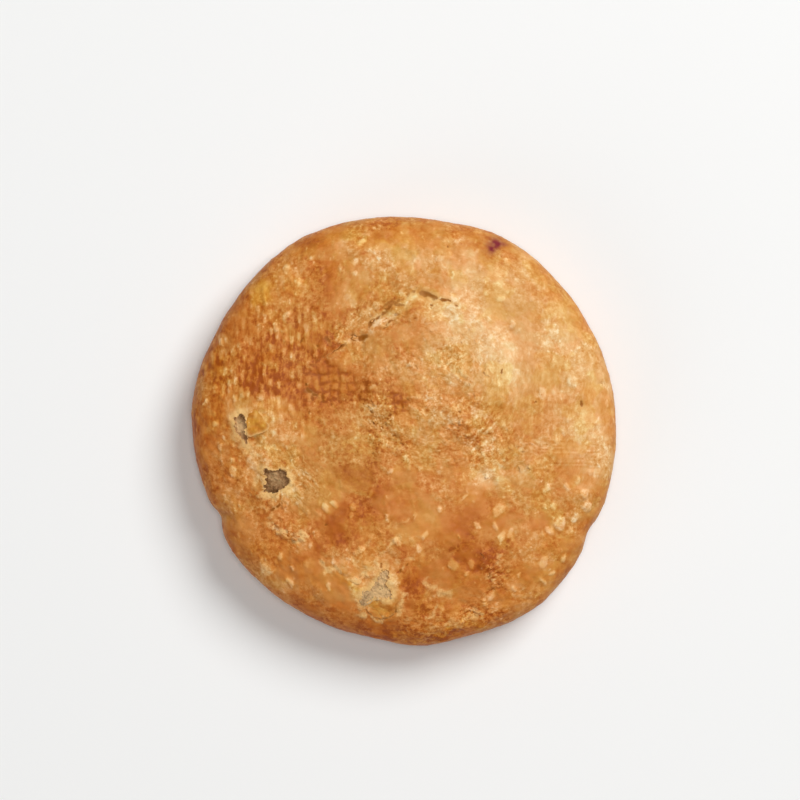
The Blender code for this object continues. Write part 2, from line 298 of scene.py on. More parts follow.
# Points along the crack, then its half width, depth, height of its lip, and how dark it is inside, a painted shade in
# the recess.
CRACKS = {
    "fold, upper gap": (((3.2, 32.4), (4.4, 31.8), (5.5, 31.3), (6.7, 30.8), (7.6, 30.4)), 0.66, 0.30, 0.3, 1.0),
    "fold, thin end": (((7.6, 30.4), (8.5, 30.2), (9.6, 30.0), (10.7, 29.7), (11.3, 29.2), (12.1, 28.7), (13.0, 28.5)),
                       0.36, 0.13, 0.12, 1.1),
    "fold, upper edge": (((3.4, 32.8), (2.4, 32.9), (1.2, 31.8), (0.1, 31.0), (-1.2, 30.3), (-2.9, 29.8),
                          (-4.6, 28.9), (-6.4, 27.8), (-8.0, 26.6), (-9.4, 25.2)),
                         0.36, 0.15, -0.25, 0.45),
    "fold, second layer": (((0.9, 29.0), (-1.4, 28.9), (-2.8, 29.2), (-3.8, 28.4), (-5.9, 28.0)),
                           0.40, 0.15, 0.2, 0.8),
    "fold, bed edge": (((-3.4, 27.9), (-5.0, 27.2), (-6.1, 26.4), (-7.3, 25.6), (-8.2, 24.8), (-8.6, 23.4)),
                       0.42, 0.17, 0.2, 1.0),
    "fold, bed line": (((-2.9, 26.8), (-1.9, 26.9), (-1.0, 26.8)), 0.28, 0.07, 0.05, 0.7),
    "fold, bed crack": (((-4.5, 24.4), (-3.6, 24.9), (-2.6, 25.5)), 0.32, 0.15, 0.1, 1.0),
    "fold, middle gap": (((-13.0, 21.9), (-12.2, 21.6), (-10.6, 21.4), (-9.2, 21.8), (-8.2, 22.5)),
                         0.66, 0.30, 0.3, 1.1),
    "fold, lower edge": (((-12.5, 21.8), (-14.1, 20.3), (-15.7, 19.2), (-17.0, 18.1), (-18.9, 17.1), (-21.6, 15.7)),
                         0.38, 0.20, -0.3, 0.6),
    "fold, last gap": (((-16.6, 18.9), (-15.2, 19.4), (-13.4, 19.4)), 0.36, 0.18, 0.2, 1.0),
    "side crack": (((-19.4, 21.8), (-18.1, 21.3), (-17.5, 20.2), (-17.7, 19.4)), 0.4, 0.18, 0.2, 0.7),
    "layer edge": (((-6.4, 23.3), (-5.0, 23.7), (-4.1, 23.9), (-2.6, 24.5), (-1.4, 24.9)), 0.26, 0.12, 0.2, 0.6),
    "ridge line": (((-1.3, 25.5), (0.2, 27.0), (1.6, 28.3)), 0.24, 0.07, 0.1, 0.3),
    "print corner": (((-23.2, 10.4), (-22.7, 9.4), (-21.4, 8.3), (-19.5, 7.3)), 0.42, 0.18, 0.2, 1.0),
    "second fold": (((-0.6, -6.0), (-1.9, -3.7), (-4.2, -1.5), (-5.9, 0.9), (-8.4, 4.4)),
                    0.5, 0.09, 0.1, 0.1),
    "flaky strip": (((-30.9, -22.8), (-28.4, -23.6), (-26.0, -24.3), (-22.6, -24.0)), 0.4, 0.12, -0.2, 0.1),
    "slit by the middle opening": (((-31.4, -18.8), (-30.2, -18.2), (-28.7, -16.9)), 0.34, 0.26, 0.15, 1.3),
    "hollow under the flap": (((-35.6, -1.6), (-34.6, -1.9), (-33.6, -1.6)), 0.7, 0.21, 0.1, 0.25),
    "foot of the hollow": (((-34.8, -1.8), (-34.8, -2.6), (-34.9, -3.4)), 0.5, 0.18, 0.1, 0.3),
    "lower split": (((-16.3, -32.6), (-14.9, -33.2), (-12.5, -34.8), (-10.9, -35.6), (-9.6, -34.2)),
                    0.3, 0.09, 0.1, 0.2),
    "lip crack": (((-10.0, -39.8), (-9.3, -41.2), (-8.7, -42.1), (-7.5, -42.9), (-6.2, -43.3), (-4.8, -43.6),
                   (-3.6, -43.2), (-2.3, -42.2), (-2.1, -41.2), (-1.5, -39.9), (-0.7, -38.6)),
                  0.28, 0.12, -0.15, 0.5),
    "right split": (((22.4, -29.0), (20.6, -31.5), (19.6, -33.6), (20.0, -35.6), (20.6, -37.4), (21.6, -39.2)),
                    0.3, 0.15, 0.2, 0.3),
    "rim crease": (((-46.0, -20.4), (-43.0, -19.8), (-40.0, -20.6)), 0.9, 0.30, 0.3, 0.2),
    "rim chip gap": (((-41.3, -28.4), (-40.0, -29.4), (-38.8, -31.0)), 0.4, 0.30, 0.4, 0.9),
    "orange crease": (((44.8, 11.5), (46.2, 11.0), (47.3, 11.2)), 0.35, 0.18, 0.1, 0.3),
    "centre slit": (((2.3, 15.4), (2.6, 14.6), (3.0, 13.9)), 0.3, 0.15, 0.1, 1.0),
}

# Where the skin has split open along a line and dried to pale crumbs: points, half width, how pale.
SEAMS = {
    "arm": (((-21.4, -30.0), (-19.9, -31.8), (-18.0, -32.9), (-15.5, -33.0), (-14.0, -33.4), (-12.7, -34.1),
             (-11.7, -35.2), (-12.1, -36.8), (-12.1, -38.7), (-11.4, -40.8), (-10.0, -42.2), (-8.1, -43.5),
             (-5.6, -43.9), (-3.5, -43.7)), 0.7, 0.9),
    "upper arm": (((-15.5, -32.8), (-13.4, -31.8), (-11.9, -30.7), (-11.1, -28.8), (-10.2, -27.4), (-7.7, -26.3)),
                  0.7, 0.6),
    "long arm": (((-11.7, -35.3), (-10.6, -34.1), (-9.0, -33.4), (-7.7, -32.6), (-6.7, -31.1), (-6.0, -29.2),
                  (-4.4, -28.3), (-2.3, -26.3), (-0.2, -25.7), (1.5, -25.5)), 0.8, 0.7),
    "right arm": (((3.2, -27.6), (2.1, -29.2), (0.5, -29.9), (-0.6, -31.1), (-1.6, -33.0), (-3.4, -34.6)), 0.6, 0.7),
    "streak": (((-2.3, -22.1), (-0.2, -21.3), (1.1, -20.0), (2.8, -18.1)), 0.5, 0.6),
    "right of the lip": (((-2.2, -42.6), (-1.2, -41.0), (-0.5, -39.2), (1.0, -38.0)), 0.9, 0.8),
    "low patch": (((4.9, -34.0), (6.4, -36.4), (8.4, -38.4), (10.9, -39.1)), 1.0, 0.8),
    "low arm": (((7.8, -40.8), (6.1, -42.7), (5.1, -43.9)), 0.7, 0.7),
    "strip": (((-30.8, -23.2), (-29.2, -23.7), (-27.3, -24.5), (-24.6, -25.2), (-22.7, -24.3)), 1.0, 1.2),
    "under the middle opening": (((-33.4, -17.4), (-31.9, -18.4), (-31.1, -19.5), (-31.1, -21.0), (-30.9, -23.0)),
                                 0.8, 0.7),
    "left of the middle opening": (((-34.5, -9.0), (-34.9, -11.5), (-34.6, -14.0), (-33.0, -16.5)), 0.8, 0.6),
    "under the upper opening": (((-39.4, -2.6), (-37.5, -4.2), (-35.2, -5.4), (-33.4, -6.4)), 1.0, 0.7),
    "second fold": (((-12.4, 6.4), (-9.6, 5.2), (-8.2, 3.8), (-5.9, 0.9), (-4.2, -1.5), (-1.9, -3.9), (0.4, -6.2)),
                    0.9, 0.7),
    "fold crumbs": (((-11.6, 22.6), (-10.0, 22.9), (-8.6, 24.0), (-7.6, 25.8)), 0.7, 0.8),
    "fold end": (((-16.0, 18.6), (-13.6, 20.2), (-12.0, 20.6), (-8.6, 21.0)), 0.8, 0.6),
    "tongue": (((-4.3, -33.0), (-3.8, -34.6), (-3.6, -36.4), (-2.4, -37.8), (-0.6, -38.6), (-0.2, -40.4)), 0.7, 1.0),
    "below the fold": (((-19.6, 16.8), (-17.6, 16.4), (-15.4, 16.2)), 0.7, 0.5),
    "right split": (((21.9, -28.6), (20.8, -30.8), (19.6, -33.2), (20.2, -35.6)), 0.8, 0.9),
    "beside the swirl": (((14.0, -1.0), (16.4, -4.4), (19.0, -6.6), (22.6, -8.2)), 1.0, 0.5),
    "bottom crumbs": (((9.5, -44.0), (13.5, -44.4), (18.0, -42.6)), 1.2, 0.7),
}

# Smooth swellings along a line: points, half width, height, and lean to red.
RIDGES = {
    "closing fold": (((-1.6, 24.9), (0.6, 26.9), (2.3, 28.4), (4.2, 30.2)), 1.0, 0.40, 1.1),
    "branch of the fold": (((2.1, 26.8), (3.2, 27.4), (4.6, 27.8)), 0.5, 0.15, 0.5),
    "edge of the pinch": (((17.6, 28.2), (22.3, 21.1), (23.0, 12.0), (25.6, 6.3)), 0.9, 0.20, -0.3),
    "round lip": (((-7.4, -40.8), (-5.4, -41.4), (-3.2, -40.4), (-2.2, -39.2)), 1.6, 0.40, -0.6),
    "tongue": (((-3.4, -33.6), (-2.8, -35.4), (-1.6, -37.2)), 1.3, 0.30, -0.8),
    "swirl": (((8.0, 6.0), (13.0, 3.0), (16.5, -1.5), (20.0, -6.5)), 1.2, 0.25, 0.0),
}

# Corners of each opening's torn edge, and how far below the crust's slow form its filling lies.
OPENINGS = {
    "upper": (((-39.8, 3.0), (-38.5, 3.3), (-38.2, 3.7), (-37.4, 3.5), (-37.3, 2.0), (-36.8, 1.1), (-37.1, 0.2),
               (-37.0, -0.9), (-36.8, -2.3), (-36.9, -3.1), (-37.6, -2.3), (-38.3, -1.2), (-39.0, -0.8),
               (-39.4, -0.1), (-39.6, 1.0)), 0.45),
    "middle": (((-33.1, -9.4), (-32.2, -8.8), (-30.9, -9.2), (-29.7, -9.4), (-28.9, -8.9), (-27.5, -9.4),
                (-27.6, -10.3), (-26.8, -11.3), (-27.2, -12.6), (-28.2, -13.4), (-29.1, -14.0), (-29.9, -14.8),
                (-30.9, -14.9), (-31.4, -14.4), (-32.7, -14.5), (-32.6, -13.5), (-32.9, -12.7), (-32.2, -12.2),
                (-32.8, -11.6), (-32.3, -10.9), (-32.8, -10.2)), 0.42),
    "lower": (((-4.7, -32.9), (-4.0, -33.6), (-4.3, -34.8), (-4.4, -36.2), (-3.8, -37.2), (-2.9, -38.0),
               (-3.3, -38.7), (-4.6, -38.9), (-6.0, -38.9), (-7.4, -39.2), (-8.6, -40.0), (-9.6, -40.3),
               (-10.1, -39.6), (-10.2, -38.7), (-9.5, -37.7), (-8.3, -37.0), (-7.4, -36.1), (-6.5, -34.7),
               (-5.6, -33.6)), -0.22),
}
# How far the crust turns up at a torn edge, and over which width, in mm.
OPENING_LIP = 0.45
OPENING_LIP_WIDTH = 1.6

print(len(CRACKS), "cracks,", len(SEAMS), "seams,", len(RIDGES), "ridges and", len(OPENINGS), "openings")

# %% [markdown]
# ## Distances from lines and outlines
# A crack's groove depends on how far a point lies from its line, and on which side. So the places of a line are
# joined by a smooth curve of short straight pieces, and each point keeps its distance from the nearest piece.
# Only the points in a box round the line are looked at, because most of the crust is far from it.

# %% Smooth lines and distances
# Straight pieces in each bend of a smooth line.
BEND_PIECES = 6


def smooth_line(corners, closed=False):
    """A Catmull-Rom curve through the corners: each bend is a cubic of the two corners and their neighbours."""
    corners = np.array(corners, float)
    if closed:
        padded = np.vstack([corners[-1:], corners, corners[:2]])
    else:
        padded = np.vstack([2 * corners[0] - corners[1], corners, 2 * corners[-1] - corners[-2]])
    share = np.linspace(0, 1, BEND_PIECES, endpoint=False)[:, None]
    bends = []
    for before, start, end, after in zip(padded, padded[1:], padded[2:], padded[3:]):
        bends.append(
            start
            + share * (end - before) / 2
            + share**2 * (before - 2.5 * start + 2 * end - after / 2)
            + share**3 * (1.5 * (start - end) + (after - before) / 2)
        )
    return np.vstack(bends) if closed else np.vstack([*bends, corners[-1:]])


def even_steps(line, step, least=0, endpoint=True):
    """Places at even steps along a line of straight pieces."""
    length = np.concatenate([[0], np.cumsum(np.linalg.norm(np.diff(line, axis=0), axis=1))])
    at = np.linspace(0, length[-1], max(int(length[-1] / step), least), endpoint=endpoint)
    return np.column_stack([np.interp(at, length, line[:, k]) for k in (0, 1)])


def along_line(across, line):
    """Signed distance of each plan place from a line, positive on its left, and its share of the length."""
    nearest = np.full(len(across), np.inf)
    share = np.zeros(len(across))
    pieces = len(line) - 1
    for index in range(pieces):
        run = line[index + 1] - line[index]
        offset = across - line[index]
        along = np.clip(offset @ run / (run @ run), 0, 1)
        away = np.linalg.norm(offset - along[:, None] * run, axis=1)
        left = np.where(run[0] * offset[:, 1] - run[1] * offset[:, 0] < 0, -1.0, 1.0)
        closer = away < np.abs(nearest)
        nearest = np.where(closer, away * left, nearest)
        share = np.where(closer, (index + along) / pieces, share)
    return nearest, share


def outside_of(across, corners):
    """Distance of each plan place outside a closed line, negative inside: the sign counts edges crossed by a ray."""
    loop = smooth_line(corners, closed=True)
    closed = np.vstack([loop, loop[:1]])
    away, _ = along_line(across, closed)
    inside = np.zeros(len(across), bool)
    for start, end in zip(closed, closed[1:]):
        crosses = (start[1] > across[:, 1]) != (end[1] > across[:, 1])
        rise = end[1] - start[1] if end[1] != start[1] else 1.0
        at = start[0] + (end[0] - start[0]) * (across[:, 1] - start[1]) / rise
        inside ^= crosses & (across[:, 0] < at)
    return np.where(inside, -np.abs(away), np.abs(away))


def near(across, corners, margin):
    """Which plan places lie in the box round some corners, so that the rest need no sum."""
    low, high = np.min(corners, axis=0) - margin, np.max(corners, axis=0) + margin
    return np.all((across > low) & (across < high), axis=1)


def plan_way(direction):
    """The unit step in the plan towards a direction in degrees."""
    angle = math.radians(direction)
    return np.array([math.cos(angle), math.sin(angle)])


def ellipse_share(across, centre, long_half, short_half, direction):
    """How far out of an ellipse each plan place lies: 0 at its centre, 1 on its edge."""
    offset = across - np.array(centre)
    ahead, up = plan_way(direction)
    along, aside = offset @ np.array([ahead, up]), offset @ np.array([-up, ahead])
    return np.hypot(along / long_half, aside / short_half)


def flattened(across):
    """Plan places as points at level 0, for the noises."""
    return np.column_stack([across, np.zeros(len(across))])


def lines_near(across, table, times_width, margin=0.0):
    """For each line of a table: the places near it, their distance in half widths, share of its length, the rest."""
    for corners, half_width, *values in table.values():
        close = near(across, corners, times_width * half_width + margin)
        away, along = along_line(across[close], smooth_line(corners))
        yield close, away / half_width, along, half_width, *values


from_upper = outside_of(np.zeros((1, 2)), OPENINGS["upper"][0])[0]
print("the origin of the plan lies", round(from_upper, 1), "mm outside the upper opening")

# %% [markdown]
# ## How brown each place is
# Frying browned the left and the lower edge most, and left the upper right pale gold.
# That is a slow change of tone from one side to the other, with soft patches that darken or lighten it.
# Tone 0 is the palest cream and tone 1 the darkest brown, and the material turns it into a colour later.
# A second measure, the blush, says whether a place leans to red and orange or to a pale straw.

# %% Patches of tone and of blush
TONE_MIDDLE = 0.54
TONE_SWING = 0.13
TONE_DIRECTION = 40.0
TONE_WIDTH = 30.0
BLUSH_MIDDLE = 0.15
BLUSH_SWING = 0.60
RIM_BROWNING = 0.10

# Centre, half axes, direction in degrees, and how much darker (or paler) the patch is.
PATCHES = {
    "left rim": ((-46.8, -2.0), (3.0, 16.0), 0, 0.08),
    "pale band in the left rim": ((-42.3, 0.0), (2.4, 7.0), 0, -0.13),
    "brown field at left": ((-28.0, 20.0), (12.0, 8.0), 20, 0.14),
    "brown bar": ((-31.0, 11.5), (7.0, 2.6), 0, 0.20),
    "cloth print": ((-15.0, 11.5), (8.0, 4.6), 0, 0.12),
    "dull patch": ((-8.5, -9.5), (6.0, 6.0), 10, 0.34),
    "brown band": ((-13.8, -21.8), (10.0, 3.2), 36, 0.30),
    "band's foot": ((-17.0, -27.6), (5.5, 2.6), 12, 0.18),
    "red field": ((16.0, -20.5), (10.0, 6.0), 20, 0.20),
    "red field below": ((18.0, -30.5), (9.5, 4.6), -10, 0.44),
    "orange patch": ((-1.5, -30.5), (3.4, 3.0), 30, 0.16),
    "patch below": ((2.8, -37.5), (4.0, 4.5), 0, 0.26),
    "red corner": ((11.5, -35.5), (4.0, 2.4), 0, 0.16),
    "bottom rim": ((0.0, -47.0), (20.0, 4.0), 4, 0.10),
    "right rim": ((40.0, -28.0), (4.0, 12.0), -28, 0.10),
    "pale crown": ((14.0, 22.0), (13.0, 9.0), -20, -0.22),
    "yellow field": ((-33.0, 0.5), (7.0, 8.0), 0, -0.34),
    "pale ring": ((-30.5, -12.0), (6.0, 5.6), 0, -0.20),
    "yellow corner": ((-32.9, 32.0), (3.4, 2.6), 40, -0.12),
    "pale top": ((-6.0, 42.0), (5.0, 2.6), 0, -0.10),
    "pale lower opening": ((-7.0, -37.0), (6.5, 6.5), 20, -0.22),
    "pale arm": ((-15.0, -31.5), (5.0, 3.0), -20, -0.12),
    "top rim": ((-5.0, 47.0), (13.0, 2.6), 4, 0.20),
    "upper right rim": ((20.0, 42.5), (7.0, 3.0), -25, 0.08),
    "top left rim": ((-21.0, 42.5), (6.0, 2.6), 28, 0.20),
    "brown by the top": ((-20.5, 36.0), (3.4, 4.5), 0, 0.20),
    "brown streak": ((-17.6, 28.5), (4.0, 6.0), 10, 0.16),
    "above the fold": ((-9.0, 28.0), (7.5, 2.6), 32, 0.24),
    "pale by the top": ((5.0, 37.0), (5.0, 3.6), 0, -0.12),
    "left of the fold": ((-18.0, 19.6), (3.4, 4.4), 0, 0.18),
    "below the fold": ((-5.5, 18.6), (5.0, 3.6), 15, 0.16),
    "print's end": ((-3.2, 8.4), (3.0, 3.6), 0, 0.20),
    "peach beside the print": ((4.6, 11.0), (3.6, 4.4), 0, -0.16),
    "pale middle": ((3.0, -2.0), (5.0, 4.0), 0, -0.08),
    "pale field": ((30.0, 17.0), (10.0, 9.0), 0, -0.15),
    "pale below the crown": ((22.0, 6.5), (6.0, 3.6), 0, -0.14),
    "pale by the stain": ((22.0, 35.0), (7.0, 4.0), -20, -0.11),
    "below the pinch": ((9.5, 4.0), (6.5, 4.0), -15, -0.13),
    "right edge": ((44.0, 0.0), (4.4, 13.0), 0, -0.16),
    "pale swirl": ((20.0, -9.5), (6.0, 7.0), 0, -0.23),
    "pale spot": ((1.4, -25.0), (5.0, 4.6), 0, -0.18),
    # Painted light: the shaded lower-left rim is made paler here, for light returned into its shade.
    "painted bounce light at lower left": ((-30.0, -36.0), (7.0, 3.0), -38, -0.26),
    "glow below the strip": ((-27.0, -28.0), (5.0, 2.4), 20, -0.12),
    "pale by the band": ((-21.5, -13.0), (3.0, 3.6), 0, -0.12),
    "brown by the band": ((-12.0, -28.5), (4.0, 2.6), 40, 0.12),
    "left notch": ((-43.0, -18.0), (3.4, 3.0), 0, -0.10),
    "left edge": ((-39.5, 11.5), (4.6, 6.5), 0, -0.20),
    "brown dot field": ((32.5, -23.0), (5.0, 3.4), 0, 0.18),
    "top of the rim": ((5.0, 47.4), (6.0, 1.6), 0, -0.10),
    "brown left of the stain": ((16.0, 43.4), (3.0, 2.6), -20, 0.12),
}

# The same for small places, whose outline is hardly shaken.
DETAILS = {
    "bed of the fold": ((-4.3, 25.6), (3.2, 1.3), 19, -0.36),
    "bed above": ((2.4, 30.7), (1.9, 0.9), 22, -0.40),
    "bed's end": ((-8.6, 23.3), (1.6, 0.7), 25, -0.26),
    "edge of the hole": ((-13.4, 20.9), (0.9, 0.6), 30, -0.40),
    "foot of the hole": ((-10.4, 20.5), (2.0, 0.4), 5, -0.34),
    "shadow of the bed": ((-3.6, 24.0), (2.6, 0.45), 22, 0.14),
    "under the ridge": ((1.6, 25.6), (2.2, 0.8), 30, 0.14),
    "red spot": ((-0.9, 25.6), (0.9, 0.5), 40, 0.20),
    "cream tongue": ((-2.6, -35.3), (1.4, 2.7), -12, -0.26),
    "ridge": ((1.2, 27.2), (3.6, 0.6), 43, 0.06),
    "line under the ridge": ((-0.4, 25.0), (1.6, 0.35), 40, 0.20),
    "beside the tongue": ((1.1, -35.6), (1.7, 2.4), 0, 0.20),
    "left of the tongue": ((-8.3, -33.0), (1.4, 1.2), 30, -0.14),
    "flap's shadow": ((-34.8, -2.3), (1.1, 1.0), 0, 0.22),
    "right of the flap": ((-29.3, 1.2), (1.8, 2.2), 0, -0.20),
    "left of the arm": ((-14.0, -31.7), (1.8, 1.6), 0, 0.07),
}

# The same, and how deep the purple stain of a spice is.
STAINS = {
    "blob": ((20.8, 43.3), (1.9, 1.6), 20, 1.05),
    "arm": ((22.8, 43.3), (1.1, 0.6), 0, 0.5),
    "foot": ((20.2, 41.9), (0.8, 0.7), 0, 0.5),
}

# The same, and how much the patch leans to red (above 0) or to straw (below 0).
BLUSHES = {
    "upper left rim": ((-31.0, 33.0), (16.0, 7.0), 50, 0.4),
    "top rim": ((2.0, 46.0), (20.0, 4.0), 0, 0.6),
    "left field": ((-30.0, 14.0), (14.0, 10.0), 0, 0.2),
    "cloth print": ((-12.0, 9.5), (10.0, 6.0), 0, 0.2),
    "straw by the upper opening": ((-36.0, -1.0), (7.0, 8.0), 0, -1.1),
    "straw by the middle opening": ((-29.5, -13.0), (8.0, 7.0), 0, -1.2),
    "straw right of it": ((-20.0, -7.5), (9.0, 10.0), 0, -1.3),
    "straw at the upper right": ((25.0, 32.0), (9.0, 8.0), 0, -0.5),
    "straw at the right": ((38.0, 14.0), (8.0, 11.0), 0, -0.5),
    "left rim": ((-45.0, 8.0), (4.0, 20.0), 0, 0.5),
    "bottom left rim": ((-8.0, -45.5), (12.0, 3.0), -8, 0.8),
    "straw at lower left": ((-38.0, -20.0), (8.0, 5.0), 0, -0.5),
    "straw across the middle": ((-6.0, -4.0), (16.0, 6.0), -10, -0.6),
    "pale crown": ((14.0, 18.0), (16.0, 12.0), 0, -0.2),
    "red field": ((12.0, -21.0), (14.0, 9.0), 10, 0.65),
    "straw of the left middle": ((-16.0, -12.0), (9.0, 7.0), 0, -0.9),
    "lower right rim": ((31.0, -38.6), (9.0, 3.0), 40, 0.5),
    "bottom rim": ((3.0, -49.0), (10.0, 2.0), 8, 0.8),
    "brown band": ((-13.0, -22.5), (9.0, 4.0), 30, 0.5),
    "lower right": ((26.0, -34.0), (14.0, 8.0), 35, 0.5),
    "bottom": ((14.0, -44.0), (12.0, 5.0), 15, 0.5),
    "straw by the lower opening": ((-7.0, -37.5), (6.0, 5.0), 20, -1.0),
    "upper right spots": ((18.0, 40.0), (7.0, 4.0), -30, 0.5),
    "olive patch": ((34.0, -17.0), (4.5, 4.5), 0, -0.4),
    "olive of the dull patch": ((-9.0, -9.0), (6.0, 6.0), 0, -0.8),
    "bed of the fold": ((-4.6, 25.8), (4.0, 1.5), 22, -1.6),
    "under the ridge": ((1.6, 24.6), (2.6, 1.4), 20, 1.0),
    "straw at the left edge": ((-40.0, 10.0), (4.0, 6.0), 0, -0.5),
    "above the gap": ((9.0, 32.6), (4.0, 2.2), -20, 0.8),
    "patch below": ((2.8, -37.5), (4.0, 4.5), 0, 0.6),
}

# The same, and how golden the patch is.
GOLDS = {
    "yellow corner": ((-32.9, 32.4), (3.8, 2.8), 30, 1.6),
    "lower right rim": ((31.0, -38.6), (9.0, 3.0), 40, 0.4),
    # Painted light: the shaded lower-left rim leans golden here, for light returned into its shade.
    "painted bounce light at lower left": ((-33.0, -33.0), (6.0, 3.0), -38, 0.5),
    "lip": ((-5.2, -41.0), (3.8, 2.2), 10, 0.35),
    "flap's shadow": ((-34.9, -2.2), (1.3, 1.3), 0, 1.3),
    "round the upper opening": ((-35.0, 0.0), (8.0, 8.0), 0, 0.40),
    "top": ((-7.0, 44.5), (12.0, 3.4), 0, 0.60),
    "left rim": ((-45.0, 12.0), (3.6, 9.0), 0, 0.85),
    "shoulder": ((-34.0, 25.0), (5.0, 5.0), 0, 0.30),
    "bottom rim": ((3.0, -49.0), (10.0, 2.0), 8, 0.7),
    "upper left": ((-25.0, 33.0), (5.0, 4.0), 0, 0.35),
    "ring of the lip": ((-5.8, -38.4), (6.0, 6.0), 0, 0.2),
    "beside the arm": ((-13.0, -36.5), (2.4, 1.6), 30, 0.8),
    "bottom": ((14.0, -46.0), (5.0, 1.6), 12, 0.8),
    "right of the red field": ((31.0, -18.0), (4.0, 4.0), 0, 0.2),
}

print(len(PATCHES), "patches of tone,", len(DETAILS), "details,", len(BLUSHES), "of blush,", len(GOLDS), "of gold")

# %% [markdown]
# ## Adding up soft patches
# Each patch is an ellipse whose strength falls off smoothly at its edge. A true ellipse would look drawn, so the
# places are first moved about by noise, and its outline comes out ragged. Small details are shaken less.


# %% Sums of patches
def bells(across, patches, power):
    """Adds up flat-topped bells, amount * exp(-(distance in half axes)^power)."""
    total = np.zeros(len(across))
    for centre, half_axes, direction, amount in patches.values():
        total += amount * np.exp(-(ellipse_share(across, centre, *half_axes, direction) ** power))
    return total


def patch_sum(across, patches, shake=1.0):
    """The bells of a table with power 3, on places shaken by noise of two sizes."""
    flat = flattened(across)
    moved = [noise(flat, 5.0 * shake, seed) + 0.5 * noise(flat, 1.7 * shake, seed + 2) for seed in (71, 72)]
    return bells(across + shake * np.column_stack(moved), patches, 3)


def browning_slope(across):
    """From -1 at the browner side to 1 at the paler one: a hyperbolic tangent of the distance across."""
    return np.tanh(across @ plan_way(TONE_DIRECTION) / TONE_WIDTH)


def broad_tone(across):
    """The tone before blisters and flecks: a slope across the pastry plus the patches."""
    slope = TONE_MIDDLE - TONE_SWING * browning_slope(across)
    return slope + patch_sum(across, PATCHES) + patch_sum(across, DETAILS, 0.25)


print("broad tone, pale and dark:", np.round(np.percentile(broad_tone(some_points[:, :2]), (2, 98)), 2))

# %% [markdown]
# ## Blisters and pits that stand out
# Most blisters are small and scattered by chance. The larger ones give this pastry its face, so they have places.
# A blister is a dome of thin dough that stayed pale on top, and its paleness is partly a painted highlight where it
# would catch the light. A pit is a small hole where a bubble has opened.

# %% Places of single blisters and pits
# X, Y and radius of each.
BLISTERS = np.array((
    (-32.2, -32.4, 1.5), (-26.8, -35.7, 1.1), (-26.3, -32.2, 0.7), (-17.6, -36.4, 0.7), (4.9, -24.4, 1.0),
    (-10.1, -27.7, 0.7), (-1.6, -25.8, 0.9), (3.3, -27.9, 0.9), (11.4, -31.4, 1.5), (15.4, -31.3, 0.9),
    (14.2, -33.5, 0.8), (21.7, -18.6, 1.6), (21.0, -22.1, 0.9), (22.5, -24.5, 1.0), (24.5, -23.6, 1.1),
    (16.9, -22.4, 0.9), (12.3, -24.7, 0.4), (32.6, -18.1, 0.7), (34.5, -17.5, 1.0), (33.6, -23.4, 1.1),
    (36.1, -21.7, 1.7), (39.6, -20.4, 1.2), (42.4, -17.9, 1.2), (22.3, -29.6, 1.0), (32.2, -30.6, 1.4),
    (34.1, -33.3, 0.7), (36.8, -30.3, 0.7), (32.2, -35.0, 0.8), (26.6, -33.9, 0.5), (25.3, -36.7, 0.6),
    (20.4, -38.6, 0.9), (19.1, -40.8, 0.7), (21.4, -40.7, 0.5),
    (-37.8, 8.2, 0.9), (-33.6, 8.0, 1.2), (-46.5, 6.6, 0.6), (-44.4, 1.4, 0.7), (-40.1, -7.0, 0.7),
    (-40.4, -9.4, 1.2), (-35.7, -7.7, 1.4), (-43.0, -4.0, 0.7), (-29.1, -29.3, 0.7), (-16.4, -17.1, 0.9),
    (-12.4, -17.8, 0.9), (-12.4, -19.9, 0.7), (-18.3, -17.8, 1.2), (-21.8, -26.8, 0.7), (-3.5, -9.4, 0.9),
    (-4.0, -20.4, 0.7), (8.2, -18.8, 0.7), (14.1, -15.7, 0.7), (35.4, -2.3, 0.9), (37.8, -13.1, 0.9),
    (43.4, -9.9, 0.7), (33.3, -13.4, 1.2), (41.8, -14.7, 1.0), (39.9, -11.7, 0.7), (31.7, 8.7, 1.2),
    (38.7, 11.3, 1.2), (17.6, 37.6, 0.7), (23.5, 39.2, 0.9), (-11.7, 39.4, 0.9), (-11.3, 36.6, 0.7),
    (-7.0, 42.2, 0.9), (-10.1, 43.9, 0.9), (8.2, 39.9, 0.9), (13.4, 36.4, 0.9), (11.7, 32.9, 0.9),
    (29.3, 30.5, 0.8), (22.3, 30.5, 0.8), (25.1, 24.6, 0.9), (-24.6, 34.5, 1.0), (-27.7, 37.6, 0.9),
    (-33.6, 24.4, 0.9), (-30.5, 23.9, 0.9), (-27.0, 26.8, 0.7), (-43.0, 20.4, 0.7),
))
PITS = np.array((
    (10.3, 43.0, 0.4), (-17.1, 5.9, 0.5), (0.5, 7.0, 0.4), (-0.5, 5.2, 0.4), (22.3, 13.8, 0.5),
    (30.3, 7.0, 0.4), (41.3, 6.1, 0.7), (0.2, -31.4, 0.5), (-1.2, -32.9, 0.5), (19.5, -33.6, 0.6),
    (-18.7, -21.8, 0.5), (-22.3, 4.0, 0.4), (-23.9, 20.7, 0.4), (-23.2, 10.6, 0.4), (-20.7, 19.9, 0.4),
    (-7.0, -5.6, 0.4), (-8.2, 4.5, 0.4), (-7.3, 3.1, 0.4), (-5.4, 0.7, 0.4), (-2.6, -1.4, 0.4),
    (12.4, 4.2, 0.4), (5.6, 29.1, 0.3), (6.2, 29.0, 0.3), (5.9, 28.3, 0.35), (-5.1, -31.5, 0.4), (-4.9, -32.4, 0.4),
))
BLISTER_HEIGHT = 0.32
BLISTER_TONE = 0.18
PIT_DEPTH = 0.3


